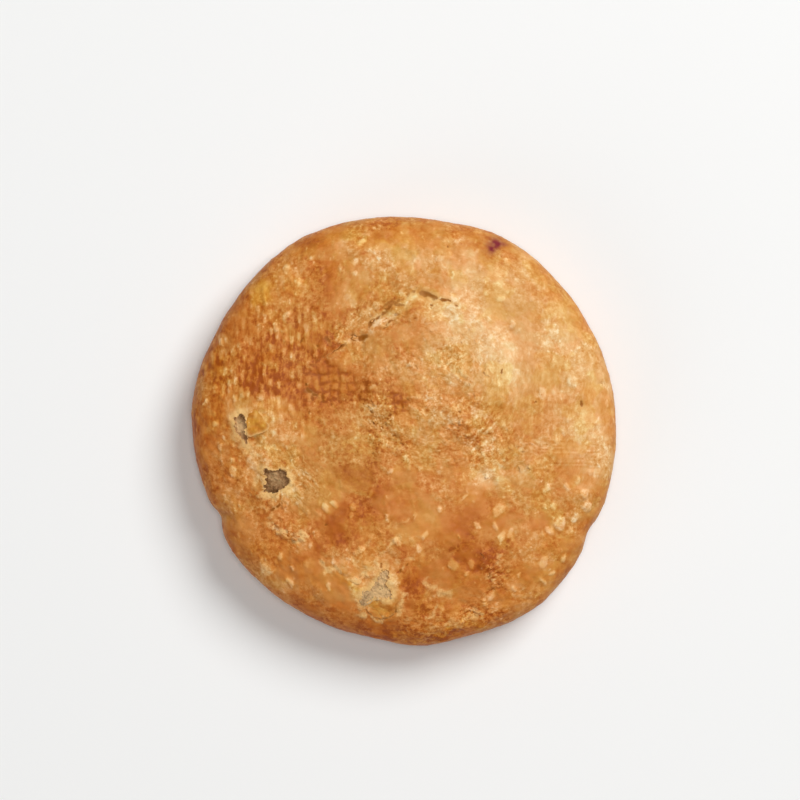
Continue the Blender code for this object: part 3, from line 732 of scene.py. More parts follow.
def placed_domes(across, places):
    """Domes 1 - (distance / radius)^2 on named places, shaken out of round: the highest of them at each point."""
    flat = flattened(across)
    across = across + 0.16 * np.column_stack([noise(flat, 1.8, 61), noise(flat, 1.8, 62)])
    height = np.zeros(len(across))
    for x, y, radius in places:
        close = near(across, ((x, y),), 1.5 * radius)
        turn = 90 + 35 * math.sin(3.1 * x + 1.7 * y)
        away = ellipse_share(across[close], (x, y), 1.25 * radius, 0.8 * radius, turn)
        height[close] = np.maximum(height[close], 1 - away**2)
    return height


print(len(BLISTERS), "blisters and", len(PITS), "pits have places")

# %% [markdown]
# ## Where the skin is printed, flaky or smooth
# The rolled dough took the print of a cloth at the left, in upright strokes and in a small patch of squares.
# Round the pinch the layers have opened into fine flakes, and below it the skin stayed smooth.
# Each character has its own zones, again as soft patches, from 0 to 1.

# %% Zones of the skin's character
ZONES = {
    "strokes": {
        "left field": ((-31.0, 17.0), (15.0, 16.0), 0, 1.0),
        "left edge": ((-44.0, 10.0), (6.0, 14.0), 0, 0.4),
        "top": ((3.0, 38.0), (22.0, 7.0), 0, 0.22),
        "right": ((34.0, 4.0), (11.0, 20.0), 0, 0.3),
    },
    "squares": {
        "print": ((-17.4, 10.8), (7.0, 4.8), -4, 1.9),
        "print's tail": ((-6.6, 8.0), (8.0, 4.2), -14, 1.5),
    },
    "rows": {
        "right field": ((37.0, -6.0), (13.0, 6.0), 0, 1.2),
    },
    "flakes": {
        "round the fold": ((-8.0, 24.5), (13.0, 3.6), 32, 0.55),
        "pinch": ((10.0, 12.0), (15.0, 13.0), 0, 0.50),
        "below the pinch": ((18.0, -3.0), (16.0, 8.0), -20, 0.60),
        "second fold": ((-5.0, 0.0), (4.0, 8.0), 35, 1.0),
        "lower opening": ((-7.5, -36.5), (6.5, 6.5), 0, 0.5),
        "right split": ((20.5, -34.0), (2.5, 6.0), 0, 1.0),
        "bottom": ((12.0, -45.0), (16.0, 4.0), 10, 0.75),
        "flaky strip": ((-26.5, -24.3), (6.0, 2.0), -8, 0.9),
        "by the middle opening": ((-28.0, -12.0), (7.0, 7.0), 0, 0.8),
    },
    "even": {
        "upper right": ((31.0, 22.0), (18.0, 26.0), 0, 0.8),
        "right": ((38.0, -2.0), (11.0, 12.0), 0, 0.7),
        "right of the fold": ((16.0, 26.0), (10.0, 8.0), -20, 0.5),
        "foot of the pinch": ((16.0, 3.0), (6.0, 5.0), 0, 0.4),
    },
    "smooth": {
        "red field": ((12.0, -22.0), (12.0, 7.0), 10, 1.0),
        "band": ((-12.0, -21.5), (10.0, 4.0), 30, 0.8),
        "lower left": ((-20.0, -38.0), (12.0, 5.0), -25, 0.8),
        "brown field": ((-28.0, 8.0), (8.0, 3.0), 0, 0.6),
        "fold's bed": ((-4.4, 25.6), (3.6, 1.6), 20, 1.0),
        "upper bed": ((2.5, 30.6), (2.2, 1.0), 20, 0.9),
        "closing fold": ((1.6, 27.5), (4.0, 1.6), 45, 0.6),
        "below the fold": ((-3.5, 21.0), (6.0, 2.2), 15, 0.3),
        "right": ((30.0, -26.0), (7.0, 6.0), 0, 0.35),
        "right of the lower opening": ((3.5, -34.0), (5.0, 6.0), 0, 0.8),
    },
}


def zone(across, name):
    """How far each plan place belongs to a kind of skin: the patches of the kind, added up and kept within 0 to 1."""
    return np.clip(patch_sum(across, ZONES[name]), 0, 1)


print("zones:", {name: len(patches) for name, patches in ZONES.items()})

# %% [markdown]
# ## Relief of the crust
# Relief is one height for each point, pushed outwards along the plain form's normal.
# The same functions colour the crust, so that a blister's top is paler exactly where it stands up.
# Each feature below is a function of the plain point, and two more functions add up the height and the finish.

# %% Print of the cloth
STROKE_PITCH = 1.65
STROKE_LENGTH = 4.0
SQUARE_PITCH = 2.07
PRINT_DARKNESS = 0.36
ROW_PITCH = 0.93


def strokes_of_cloth(points):
    """Upright dashes: column and cell of each place, then a soft bar round a shaken middle, of a chance strength."""
    across = points[:, :2]
    place = across[:, 0] + 0.35 * noise(points, 9.0, 101) + 0.08 * noise(points, 1.5, 102)
    column = np.floor(place / STROKE_PITCH)
    aside = (place / STROKE_PITCH - column - 0.5) * STROKE_PITCH
    none = np.zeros_like(column)
    lift = scrambled(np.column_stack([column, none, none]), 103) * 10 * STROKE_LENGTH
    row = np.floor((across[:, 1] + lift) / STROKE_LENGTH)
    chance = np.column_stack([column, row, none])
    ahead = ((across[:, 1] + lift) / STROKE_LENGTH - row - 0.5) * STROKE_LENGTH
    half = 0.25 * STROKE_LENGTH * (0.7 + 0.8 * scrambled(chance, 104))
    aside = np.abs(aside - 0.3 * (scrambled(chance, 105) - 0.5))
    bar = smooth_step((0.44 - aside) / 0.36 + 0.5) * smooth_step((half - np.abs(ahead)) / 0.5 + 0.5)
    return bar * 1.1 * scrambled(chance, 106)


def cloth_print(points):
    """Strokes, squares and rows, each kept to its zone: a square's line is a bell round whole steps of the pitch."""
    across = points[:, :2]
    pressed = strokes_of_cloth(points + np.array([0.5 * STROKE_PITCH, 1.3, 0.0]))
    strokes = zone(across, "strokes") * (strokes_of_cloth(points) - 0.45 * pressed)
    waver = 0.22 * np.column_stack([noise(points, 4.0, 107), noise(points, 4.0, 108)])
    place = (across + waver + np.array([0.10, 0.04]) * across[:, ::-1]) / SQUARE_PITCH
    off_line = np.abs(place - np.round(place)) * SQUARE_PITCH
    broken = smooth_step(0.62 + 0.7 * np.column_stack([stretched(points, 0.9, 2.4, way, 109) for way in (90, 0)]))
    lines = (np.exp(-((off_line / 0.42) ** 2)) * broken).max(axis=1)
    squares = zone(across, "squares") * lines
    run = np.cos(2 * np.pi * (across[:, 1] + 0.25 * noise(points, 4.0, 110)) / ROW_PITCH)
    rows = zone(across, "rows") * run * smooth_step(0.5 + 0.6 * stretched(points, 1.0, 3.5, 0, 111))
    return strokes, squares, rows


print("strongest stroke, square and row:", [round(found.max(), 2) for found in cloth_print(some_points)])


# %% Layers, flecks and blisters
def flaky_layers(points, flaky):
    """Terraces of thin layers: a slow noise cut into steps, flat for three quarters of each and then a rise."""
    slow = 1.6 * fractal(points, 4.5, 112, 3, 0.55) + 0.3 * noise(points, 0.9, 115)
    whole = np.floor(slow)
    part = slow - whole
    terrace = whole + smooth_step((part - 0.72) / 0.28)
    edge = np.exp(-(((part - 0.82) / 0.1) ** 2))
    return 0.13 * terrace * flaky, edge * flaky


def swirling_flecks(points):
    """Noise drawn out along circles round the pinch: its lattice is the distance and the way round."""
    offset = points[:, :2] - np.array(PINCH_CENTRE)
    distance = np.hypot(offset[:, 0], offset[:, 1])
    turned = np.arctan2(offset[:, 1], offset[:, 0]) * 18.0
    bent = np.column_stack([distance / 0.55, turned / 2.0, points[:, 2] / 0.8])
    bent[:, 0] += 1.2 * noise(points, 2.5, 121)
    return noise(bent, 1.0, 122)


def scattered_blisters(points):
    """Three sizes of chance blisters, warped a little so that none is a true circle: height, and paleness, partly a
    painted highlight.
    """
    warp = np.column_stack([noise(points, 1.3, seed) for seed in (51, 52, 53)])
    drawn = points * np.array([1.35, 0.75, 1.0])
    large, large_label = domes(drawn + 0.40 * warp, 3.6, 0.35, 60)
    small, small_label = domes(drawn + 0.25 * warp, 1.9, 0.55, 70)
    tiny, tiny_label = domes(drawn + 0.12 * warp, 1.05, 0.55, 80)
    height = 0.18 * large * (0.3 + large_label) + 0.18 * small * (0.3 + small_label) + 0.12 * tiny * tiny_label
    pale = 0.10 * smooth_step(3 * large) * (large_label - 0.4) + 0.32 * smooth_step(2.5 * small) * small_label**3
    pale += 0.34 * smooth_step(2 * tiny) * tiny_label**3
    return height, pale


print("chance blisters stand up to", round(scattered_blisters(some_points)[0].max(), 2), "mm")


# %% Cracks, seams, ridges and the edges of the openings
def cracks(points):
    """Grooves exp(-(distance / half width)^2) and lips beside them: height, torn edge, painted shade round it, groove.
    """
    across = points[:, :2]
    across = across + 0.11 * np.column_stack([noise(points, 1.1, 41), noise(points, 1.1, 42)])
    height, torn, char, groove = np.zeros((4, len(points)))
    dotted = np.clip(0.85 + 0.45 * noise(points, 0.7, 43), 0, 1)
    for close, away, along, half_width, depth, lip, darkness in lines_near(across, CRACKS, 4, 1.5):
        open_share = np.sin(np.pi * np.clip(along, 0.03, 0.97)) ** 0.5
        side = away if lip > 0 else -away
        dip = open_share * np.exp(-(away**2))
        height[close] += open_share * abs(lip) * np.exp(-(((side - 2.2) / 1.6) ** 2)) - depth * dip
        torn[close] = np.maximum(torn[close], open_share * np.exp(-((away / 2.2) ** 2)) * 0.5 * min(darkness, 1))
        char[close] = np.maximum(char[close], darkness * np.exp(-((away / 3) ** 4)))
        groove[close] = np.maximum(groove[close], dip * np.maximum(dotted[close], min(2 * half_width - 0.4, 1)))
    return height, torn, char, groove


def seams(points):
    """How far each point belongs to a seam of dry crumbs: a bell across the line, broken up by noise."""
    across = points[:, :2]
    across = across + 0.45 * np.column_stack([noise(points, 1.6, 44), noise(points, 1.6, 45)])
    found = np.zeros(len(points))
    broken = smooth_step(0.80 + 0.45 * noise(points, 1.4, 46) + 0.25 * noise(points, 0.7, 47))
    for close, away, along, _, strength in lines_near(across, SEAMS, 3.5):
        bell = np.exp(-(away**2)) * smooth_step(8 * along + 0.3) * smooth_step(8 - 8 * along + 0.3)
        found[close] = np.maximum(found[close], strength * bell * broken[close])
    return found


def ridges(points):
    """Smooth swellings, a bell across each line that fades at both ends: height, and lean to red."""
    across = points[:, :2]
    height, blush = np.zeros((2, len(points)))
    for close, away, along, _, rise, lean in lines_near(across, RIDGES, 3):
        bell = np.exp(-(away**2)) * np.sin(np.pi * np.clip(along, 0.06, 0.94)) ** 0.7
        height[close] += rise * bell
        blush[close] += lean * bell
    return height, blush


def opening_edges(points):
    """The crust turns up a little at an opening's torn edge, and stays pale round it."""
    across = points[:, :2]
    height, torn = np.zeros((2, len(points)))
    for corners, _ in OPENINGS.values():
        close = near(across, corners, 5.0)
        out = np.maximum(outside_of(across[close], corners), 0)
        height[close] += OPENING_LIP * np.exp(-((out / OPENING_LIP_WIDTH) ** 2))
        halo = 1.1 + 0.5 * noise(points[close], 2.2, 49)
        torn[close] = np.maximum(torn[close], np.exp(-((out / np.maximum(halo, 0.4)) ** 2)))
    return height, torn


crack_height = cracks(some_points)[0]
print("cracks in mm, deepest and lip:", round(crack_height.min(), 2), "and", round(crack_height.max(), 2))


# %% [markdown]
# ## Height and finish of each point
# Height and colour need the same features, so these are worked out once and kept together under short names.
# The crown carries them, they fade out down the sides, and the underside, on which the pastry lies, is plain.


# %% Features of each point
def base_relief(points):
    """The slow part of the relief, which flakes follow too: waves of the dough, and the boss of the pinch."""
    from_pinch = np.linalg.norm(points[:, :2] - np.array(PINCH_CENTRE), axis=1)
    boss = PINCH_RISE * smooth_step((PINCH_RADIUS - from_pinch) / PINCH_SOFTNESS + 0.5)
    outer = smooth_step((rim_share(points[:, :2]) - 0.86) / 0.12)
    return 0.35 * soft_waves(points, 24.0, 20, 11) * (1 - 0.7 * outer), boss


def patchy(points, size, seed):
    """Noise with firm edges, about -1 to 1: a hyperbolic tangent leaves it flat in each patch."""
    return np.tanh(3.0 * (noise(points, size, seed) + 0.3 * noise(points, size / 3, seed + 500)))


class Features:
    """All that stands or is printed on the crust, worked out once at each plain point for relief and finish."""

    def __init__(self, points):
        across = points[:, :2]
        self.on_crown = smooth_step((points[:, 2] - RIM_LEVEL) / (0.4 * CROWN_RISE))
        self.lying = smooth_step(points[:, 2] / (0.6 * RIM_LEVEL))
        self.underside = smooth_step((0.75 * RIM_LEVEL - points[:, 2]) / (0.5 * RIM_LEVEL))
        self.out = rim_share(across)
        self.flaky, self.calm, self.mild = (
            zone(across, name) * self.on_crown for name in ("flakes", "smooth", "even")
        )
        self.lively = (1 - 0.50 * self.calm) * (1 - 0.45 * self.mild)
        self.strokes_zone, self.squares_zone = zone(across, "strokes"), zone(across, "squares")
        self.waves, self.boss = base_relief(points)
        self.strokes, self.squares, self.rows = cloth_print(points)
        self.layers, self.layer_edge = flaky_layers(points, 0.25 + 0.75 * self.flaky)
        self.flecks = swirling_flecks(points) * np.clip(0.15 + self.flaky, 0, 1)
        self.chance_height, self.chance_pale = scattered_blisters(points)
        self.single = placed_domes(across, BLISTERS)
        self.pits = placed_domes(across, PITS)
        self.crack_height, self.crack_torn, self.crack_char, self.crack_groove = cracks(points)
        self.seam = seams(points)
        self.ridge, self.ridge_blush = ridges(points)
        self.edge_height, self.edge_torn = opening_edges(points)


print("share of the points on the crown:", round(Features(some_points).on_crown.mean(), 2))


# %% Height, tone and finish
def relief_height(points, on):
    """Height in mm at each plain point: an uneven skin all round, and the features on the crown."""
    fine = fractal(points, 1.3, 31, 2)
    even = 0.10 * fractal(points, 5.0, 21, 3) + 0.04 * fine * on.lively + on.chance_height * on.lively
    even = on.waves + even * (1 - 0.6 * smooth_step((on.out - 0.90) / 0.08))
    crown = on.boss + on.layers + 0.06 * on.flecks + BLISTER_HEIGHT * np.sqrt(on.single) * 0.9
    crown += on.crack_height + on.edge_height + on.ridge - PIT_DEPTH * on.pits
    crown += 0.09 * on.strokes - 0.15 * on.squares + 0.03 * on.rows
    crown += on.seam * (0.10 + 0.12 * noise(points, 0.8, 48))
    return even * on.lying + crown * on.on_crown


def tone_of(points, on):
    """How brown each point is: the broad tone, firm patches of several sizes, and what each feature adds."""
    tone = broad_tone(points[:, :2]) + RIM_BROWNING * smooth_step((on.out - 0.90) / 0.10)
    tone = tone * (1 - on.underside) + on.underside * (0.60 + 0.08 * fractal(points, 12.0, 91, 3))
    small_patches = 0.05 * patchy(points, 3.6, 82) + 0.03 * patchy(points, 1.9, 83)
    rim_patches = 0.06 * patchy(points, 1.5, 85) * smooth_step((on.out - 0.84) / 0.08)
    tone += 0.045 * patchy(points, 7.0, 81) + on.lively * small_patches + rim_patches * (1 - on.underside)
    # Blister tops paler: the thin dough's own paleness, partly a painted highlight.
    tone -= on.chance_pale * on.lively
    tone += on.on_crown * (0.28 * on.squares - 0.46 * on.strokes + 0.12 * on.strokes_zone + 0.11 * on.rows)
    tone -= on.on_crown * (0.08 * on.flecks + 0.14 * on.edge_torn + 0.16 * on.seam)
    tone = np.maximum(tone, 0.26 * on.strokes_zone)
    # The same for the placed blisters: own paleness, partly a painted highlight.
    tone += smooth_step(2.2 * on.single) * (np.maximum(tone - 0.40, BLISTER_TONE) - tone)
    return tone + (0.08 * on.layer_edge + 0.14 * np.maximum(on.ridge_blush, 0)) * on.on_crown


def blush_of(points, on):
    """Lean to red or to straw: patches on the upper half, a slope the other way than the tone's, and features."""
    across = points[:, :2]
    blush = patch_sum(across, BLUSHES) * (1 - on.underside) - BLUSH_SWING * browning_slope(across) + BLUSH_MIDDLE
    blush += 0.40 * patchy(points, 6.0, 131) + 0.42 * patchy(points, 2.4, 132)
    return blush + on.on_crown * (0.5 * on.squares + on.ridge_blush + 0.6 * on.single)


def finish_of(points, on):
    """What the material reads at each point.

    Tone, blush and gold choose the colour. Torn and crumb are dry edges and crumbs; the other two paint a deep brown
    shade into cracks and pits, and darken print lines.
    Grain is the strength of the fine noise, fibre and upright of its drawn-out kinds, and stain the spot of spice.
    """
    across = points[:, :2]
    # A layer's rising edge goes pale: dry torn dough, partly a painted highlight.
    torn = np.maximum.reduce([on.crack_torn, 0.9 * on.edge_torn, 0.35 * on.layer_edge * on.flaky,
                              0.3 * on.flaky * smooth_step(on.flecks - 0.9), 0.85 * on.seam])
    # Painted shade in cracks and pits, and the dark of the print's squares.
    char = np.maximum.reduce([on.crack_char, 0.9 * smooth_step(6 * on.pits), PRINT_DARKNESS * on.squares_zone])
    groove = np.maximum.reduce([on.crack_groove, 1.2 * on.pits, 0.8 * on.squares])
    grain = 0.55 + 0.35 * patchy(points, 5.5, 84) + 0.4 * on.flaky - 0.2 * on.strokes_zone - 0.35 * on.calm
    on_crown_only = {
        "torn": torn,
        "char": char,
        "groove": groove,
        "gold": np.clip(patch_sum(across, GOLDS), 0, 1.6),
        "crumb": np.clip(0.16 * on.flaky + 0.42 * on.seam + 0.30 * on.edge_torn, 0, 1),
        "fibre": np.clip(0.3 + on.flaky - on.calm, 0, 1),
        "upright": np.clip(on.strokes_zone - 0.5 * on.squares_zone, 0, 1),
        "stain": bells(across, STAINS, 2.5) * np.clip(1.1 + 0.25 * noise(points, 0.9, 141), 0.7, 1),
    }
    return {
        "tone": tone_of(points, on),
        "blush": blush_of(points, on),
        "grain": np.clip(grain + 0.2 * on.squares_zone, 0.10, 1.2) * (1 - 0.35 * on.mild),
        **{key: values * on.on_crown for key, values in on_crown_only.items()},
    }


crust_features = Features(crust_plain)
crust_height = relief_height(crust_plain, crust_features)
crust_finish = finish_of(crust_plain, crust_features)
crust_points = crust_plain + plain_normals(crust_plain) * crust_height[:, None]
crust_points[:, 2] = np.maximum(crust_points[:, 2], 0.0)
print("relief, mm:", round(crust_height.min(), 2), "to", round(crust_height.max(), 2))

# %% [markdown]
# ## From arrays to pieces
# A piece's mesh takes its points and triangles from the arrays in one go, and its finishes as attributes.
# A closed skin has its faces outwards when the volume that they enclose, summed with its sign, is above 0.


# %% Make a piece from points and triangles
def facing_out(points, triangles):
    """Turns the triangles round where their signed volume, the sum of a . (b x c) / 6, is below 0."""
    a, b, c = points[triangles[:, 0]], points[triangles[:, 1]], points[triangles[:, 2]]
    volume = np.einsum("ij,ij->i", a - points.mean(axis=0), np.cross(b - a, c - a)).sum()
    return triangles if volume > 0 else triangles[:, ::-1]


def make_piece(name, points, triangles, finish=None):
    """A mesh object in metres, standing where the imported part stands, with a number for each point and finish."""
    placed = np.array(points, float)
    placed[:, :2] -= PLAN_MIDDLE
    mesh = bpy.data.meshes.new(name)
    mesh.vertices.add(len(placed))
    mesh.vertices.foreach_set("co", (placed * MM).astype(np.float32).ravel())
    mesh.loops.add(triangles.size)
    mesh.loops.foreach_set("vertex_index", np.ascontiguousarray(triangles, np.int32).ravel())
    mesh.polygons.add(len(triangles))
    mesh.polygons.foreach_set("loop_start", np.arange(0, triangles.size, 3, dtype=np.int32))
    mesh.polygons.foreach_set("use_smooth", np.ones(len(triangles), dtype=bool))
    mesh.update(calc_edges=True)
    mesh.validate()
    for key, values in (finish or {}).items():
        layer = mesh.attributes.new(key, "FLOAT", "POINT")
        layer.data.foreach_set("value", np.asarray(values, np.float32))
    piece = bpy.data.objects.new(name, mesh)
    bpy.context.scene.collection.objects.link(piece)
    return piece


def joined(skins):
    """Points, triangles and finishes of several closed skins as one list each."""
    first = np.cumsum([0] + [len(points) for points, _, _ in skins[:-1]])
    points = np.vstack([points for points, _, _ in skins])
    triangles = np.vstack([facing_out(p, t) + start for (p, t, _), start in zip(skins, first)])
    finish = {key: np.concatenate([f[key] for _, _, f in skins]) for key in skins[0][2]}
    return points, triangles, finish


crust_finish["skin"] = np.ones(len(crust_points))
crust = make_piece("fried_crust", crust_points, facing_out(crust_points, crust_triangles), crust_finish)
print(crust.name, "has", len(crust.data.polygons), "faces")

# %% [markdown]
# ## Hollow the crust and tear the openings
# The crust is a shell of dough, so a smaller form is taken out of it, and each opening is cut through it.
# A Boolean modifier does both. An opening's edge is a closed line made ragged by fine noise, and its wall
# steps in and out a little with depth, because the dough is made of layers.

# %% The hollow and the ragged openings
# How far a torn edge strays from its line and the length of its steps in mm, and levels of its wall.
RAGGED = 0.16
RAGGED_STEP = 0.15
WALL_LEVELS = 16


def ragged_loop(corners):
    """The closed line through the corners at even steps, moved in and out by noise of two sizes."""
    loop = smooth_line(corners, closed=True)
    even = even_steps(np.vstack([loop, loop[:1]]), RAGGED_STEP, endpoint=False)
    run = np.roll(even, -1, axis=0) - np.roll(even, 1, axis=0)
    out = np.column_stack([run[:, 1], -run[:, 0]]) / np.linalg.norm(run, axis=1)[:, None]
    place = flattened(even)
    return even + out * RAGGED * (0.6 * noise(place, 0.7, 151) + 0.6 * noise(place, 0.35, 152))[:, None]


def opening_cutter(name, corners):
    """An upright ragged prism through the crown: the loop at each level, scaled about its middle."""
    loop = ragged_loop(corners)
    middle = loop.mean(axis=0)
    surface = crown_point(middle[None])[0, 2]
    levels = surface + np.concatenate([[-6.0], np.linspace(-CRUST_WALL - 1.2, 1.2, WALL_LEVELS), [5.0]])
    rings = []
    for index, level in enumerate(levels):
        ring = middle + (loop - middle) * (1 + 0.05 * math.sin(index * 2.1) + 0.03 * math.sin(index * 0.9))
        rings.append(np.column_stack([ring, np.full(len(ring), level)]))
    ends = [np.array([[*middle, levels[0]]]), np.array([[*middle, levels[-1]]])]
    points = np.vstack([ends[0], *rings, ends[1]])
    triangles = stack_of_rings([1] + [len(loop)] * len(levels) + [1])
    return make_piece(name, points, facing_out(points, triangles))


hollow_points, hollow_triangles = turned_skin(*HOLLOW_SPACING, CRUST_WALL)
cutters = [make_piece("hollow", hollow_points, facing_out(hollow_points, hollow_triangles))]
cutters += [opening_cutter(f"{name}_cutter", corners) for name, (corners, _) in OPENINGS.items()]
for cutter in cutters:
    cut = crust.modifiers.new(cutter.name, "BOOLEAN")
    cut.object = cutter
    cut.operation = "DIFFERENCE"
    cut.solver = "MANIFOLD"
bpy.context.view_layer.objects.active = crust
for modifier in list(crust.modifiers):
    bpy.ops.object.modifier_apply(modifier=modifier.name)
for cutter in cutters:
    bpy.data.objects.remove(cutter, do_unlink=True)
crust.data.materials.clear()
crust.data.polygons.foreach_set("material_index", np.zeros(len(crust.data.polygons), np.int32))
print(crust.name, "has", len(crust.data.polygons), "faces after the cuts")


# %% Finish of the torn walls
# Faces that meet at a sharper angle than this keep a sharp edge.
SHARP_ANGLE = math.radians(60)


def values_of(piece, key):
    """One finish of a piece, as a number for each of its points."""
    found = np.zeros(len(piece.data.vertices), np.float32)
    piece.data.attributes[key].data.foreach_get("value", found)
    return found


def plan_points(piece):
    """A piece's points back in plan millimetres."""
    found = np.zeros(3 * len(piece.data.vertices), np.float32)
    piece.data.vertices.foreach_get("co", found)
    points = found.reshape(-1, 3) / MM
    points[:, :2] += PLAN_MIDDLE
    return points


def finish_walls():
    """Inside the cuts the dough is pale and layered, and partly painted light against the shade of the narrow walls:
    torn 1, and a tone that changes quickly with the level.
    """
    points = plan_points(crust)
    inner = values_of(crust, "skin") < 0.5
    layered = 0.32 + 0.10 * noise(points * np.array([0.3, 0.3, 4.0]), 1.0, 161)
    walls = dict.fromkeys(crust_finish, 0.0) | {
        "tone": layered, "torn": 0.8, "blush": -0.3, "crumb": 0.4, "grain": 1.0, "skin": 0.0,
    }
    for key, inside in walls.items():
        values = np.where(inner, inside, values_of(crust, key)).astype(np.float32)
        crust.data.attributes[key].data.foreach_set("value", values)
    return int(inner.sum())


crust.data.set_sharp_from_angle(angle=SHARP_ANGLE)
print("points of the torn walls and the hollow:", finish_walls())

# %% [markdown]
# ## Loose flakes and torn lips
# Relief can't overhang, so the thin layers that have come loose are sheets of their own, a fraction of a
# millimetre thick. A sheet is a fan of rings on top, the same rings back underneath, and a thin edge between.
# A lip is a ribbon: a flat profile carried along the crack, buried at its root and lifted at its free edge.


# %% Sheets and ribbons
# Length of a ribbon's steps in mm, and points across each of its sides.
RIBBON_STEP = 0.22
RIBBON_ACROSS = 7


def lifted(across, lift):
    """Points that stand `lift` mm off the slow form of the crust over each plan place."""
    plain = crown_point(across)
    waves, boss = base_relief(plain)
    return plain + plain_normals(plain) * (waves + boss + lift)[:, None]


def sheet(outline, lift, ahead, rise, curl, thickness, shift, rings, pale_edge, gold=0.0, grain=1.0):
    """A thin closed sheet over a ragged outline: lift + rise * (how far ahead) + curl * (share of the radius)^3."""
    middle = outline.mean(axis=0)
    share = np.linspace(0, 1, rings + 1)[1:]
    share = np.concatenate([[0], share, share[::-1], [0]])
    top = np.arange(len(share)) <= rings
    counts = np.where(share > 0, len(outline), 1)
    ring = np.repeat(np.arange(len(share)), counts)
    spoke = np.concatenate([np.arange(count) for count in counts])
    across = middle + share[ring][:, None] * (outline[spoke] - middle)
    way = plan_way(ahead)
    forward = (across - middle) @ way / np.abs((outline - middle) @ way).max()
    under = lift + rise * forward + curl * share[ring] ** 3
    height = under + np.where(top[ring], thickness * (1 - 0.7 * share[ring] ** 4), 0.0)
    return {"across": across, "lift": height, "edge": share[ring] ** 5, "under": ~top[ring], "shift": shift,
            "gold": gold, "grain": grain, "pale": pale_edge * smooth_step(forward + 0.5),
            "triangles": stack_of_rings(counts)}


def ribbon(corners, width, overhang, root, lift, thickness, shift, seed):
    """A lip along a line: from `width` behind it, at height root, to a ragged `overhang` before it, at height lift."""
    path = even_steps(smooth_line(corners), RIBBON_STEP, 8)
    run = np.gradient(path, axis=0)
    left = np.column_stack([-run[:, 1], run[:, 0]]) / np.linalg.norm(run, axis=1)[:, None]
    place = flattened(path)
    taper = np.sin(np.pi * np.linspace(0.02, 0.98, len(path))) ** 0.6
    reach = overhang * (0.7 + 0.5 * noise(place, 0.8, seed) + 0.3 * noise(place, 0.4, seed + 1))
    across_share = np.concatenate([np.linspace(0, 1, RIBBON_ACROSS), np.linspace(1, 0, RIBBON_ACROSS)])
    top = np.arange(2 * RIBBON_ACROSS) < RIBBON_ACROSS
    start, end = -width * taper, reach * taper
    offset = start[:, None] + (end - start)[:, None] * across_share
    across = path[:, None, :] + offset[..., None] * left[:, None, :]
    free = lift * (0.8 + 0.3 * noise(place, 1.5, seed + 2)) * taper
    height = root + (free[:, None] - root) * across_share**1.4
    height = height + np.where(top, thickness * (1 - 0.7 * across_share**4), 0.0) * taper[:, None]
    ends = [(path[:1], height[0].mean()), (path[-1:], height[-1].mean())]
    across = np.vstack([ends[0][0], across.reshape(-1, 2), ends[1][0]])
    height = np.concatenate([[ends[0][1]], height.ravel(), [ends[1][1]]])
    edge = np.concatenate([[0], np.tile(across_share**6, len(path)), [0]])
    under = np.concatenate([[False], np.tile(~top, len(path)), [False]])
    counts = np.array([1] + [2 * RIBBON_ACROSS] * len(path) + [1])
    return {"across": across, "lift": height, "edge": edge, "under": under, "shift": shift, "gold": 0.0, "grain": 1.0,
            "pale": 0.45, "triangles": stack_of_rings(counts)}


def layer_piece(name, sheets):
    """One piece of many sheets, which takes its browning from the crust beneath, goes pale at its torn edges and is
    painted darker underneath as shade.
    """
    def of_all(key):
        return np.concatenate([np.broadcast_to(one[key], len(one["lift"])) for one in sheets])

    across = np.vstack([one["across"] for one in sheets])
    points = lifted(across, of_all("lift"))
    plain = crown_point(across)
    finish = finish_of(plain, Features(plain))
    points += plain_normals(plain) * (0.05 * noise(points, 0.9, 171))[:, None]
    # Undersides are 0.12 darker in tone, a painted shade.
    finish["tone"] = finish["tone"] + of_all("shift") + 0.12 * of_all("under")
    finish["torn"] = np.maximum(finish["torn"] * 0.3, of_all("pale") * of_all("edge"))
    finish["grain"] = finish["grain"] * of_all("grain")
    finish["fibre"] = finish["fibre"] * finish["grain"]
    finish["char"], finish["groove"] = np.zeros((2, len(points)))
    finish["gold"] = np.maximum(finish["gold"], of_all("gold"))
    starts = np.cumsum([0] + [len(one["across"]) for one in sheets])
    skins = [
        (points[a:b], one["triangles"], {key: values[a:b] for key, values in finish.items()})
        for one, a, b in zip(sheets, starts, starts[1:])
    ]
    made = make_piece(name, *joined(skins))
    made.data.set_sharp_from_angle(angle=SHARP_ANGLE)
    return made


print("the slow form over the pinch is", round(lifted(np.array([PINCH_CENTRE]), 0.0)[0, 2], 1), "mm high")

# %% Lips along the torn fold
# Points along the lip, width of its root, overhang, height of its root, of its free edge, and a shift of tone.
LIPS = {
    "lower": (((-12.3, 21.8), (-14.1, 20.3), (-15.7, 19.2), (-17.0, 18.1), (-18.9, 17.1)),
              1.3, 0.18, -0.15, 0.14, 0.02),
    "facing": (((-7.0, 22.9), (-5.2, 23.5), (-4.0, 23.8), (-2.6, 24.4), (-1.2, 24.8)), 1.2, 0.2, -0.1, 0.15, -0.05),
    "right split": (((22.2, -29.2), (20.4, -31.6), (19.4, -33.6), (19.8, -35.6)), 1.1, 0.35, -0.1, 0.22, -0.12),
    "strip": (((-31.0, -22.6), (-28.4, -23.7), (-26.0, -24.4), (-23.0, -24.2)), 1.0, 0.3, -0.1, 0.22, -0.2),
    "lower split": (((-9.4, -34.0), (-10.8, -35.4), (-12.5, -34.6), (-14.9, -33.0)), 1.0, 0.3, -0.1, 0.18, -0.15),
    "lower lip": (((-0.7, -38.4), (-1.6, -40.0), (-2.2, -41.4), (-3.6, -43.0), (-5.4, -43.5), (-7.6, -42.8),
                   (-9.2, -41.2), (-10.1, -39.8)), 1.2, 0.2, -0.1, 0.15, 0.0),
}
LIP_THICKNESS = 0.16

lips = [ribbon(*lip[:5], LIP_THICKNESS, lip[5], 200 + 10 * index) for index, lip in enumerate(LIPS.values())]
torn_lips = layer_piece("torn_lips", lips)
print(torn_lips.name, "has", len(torn_lips.data.polygons), "faces")

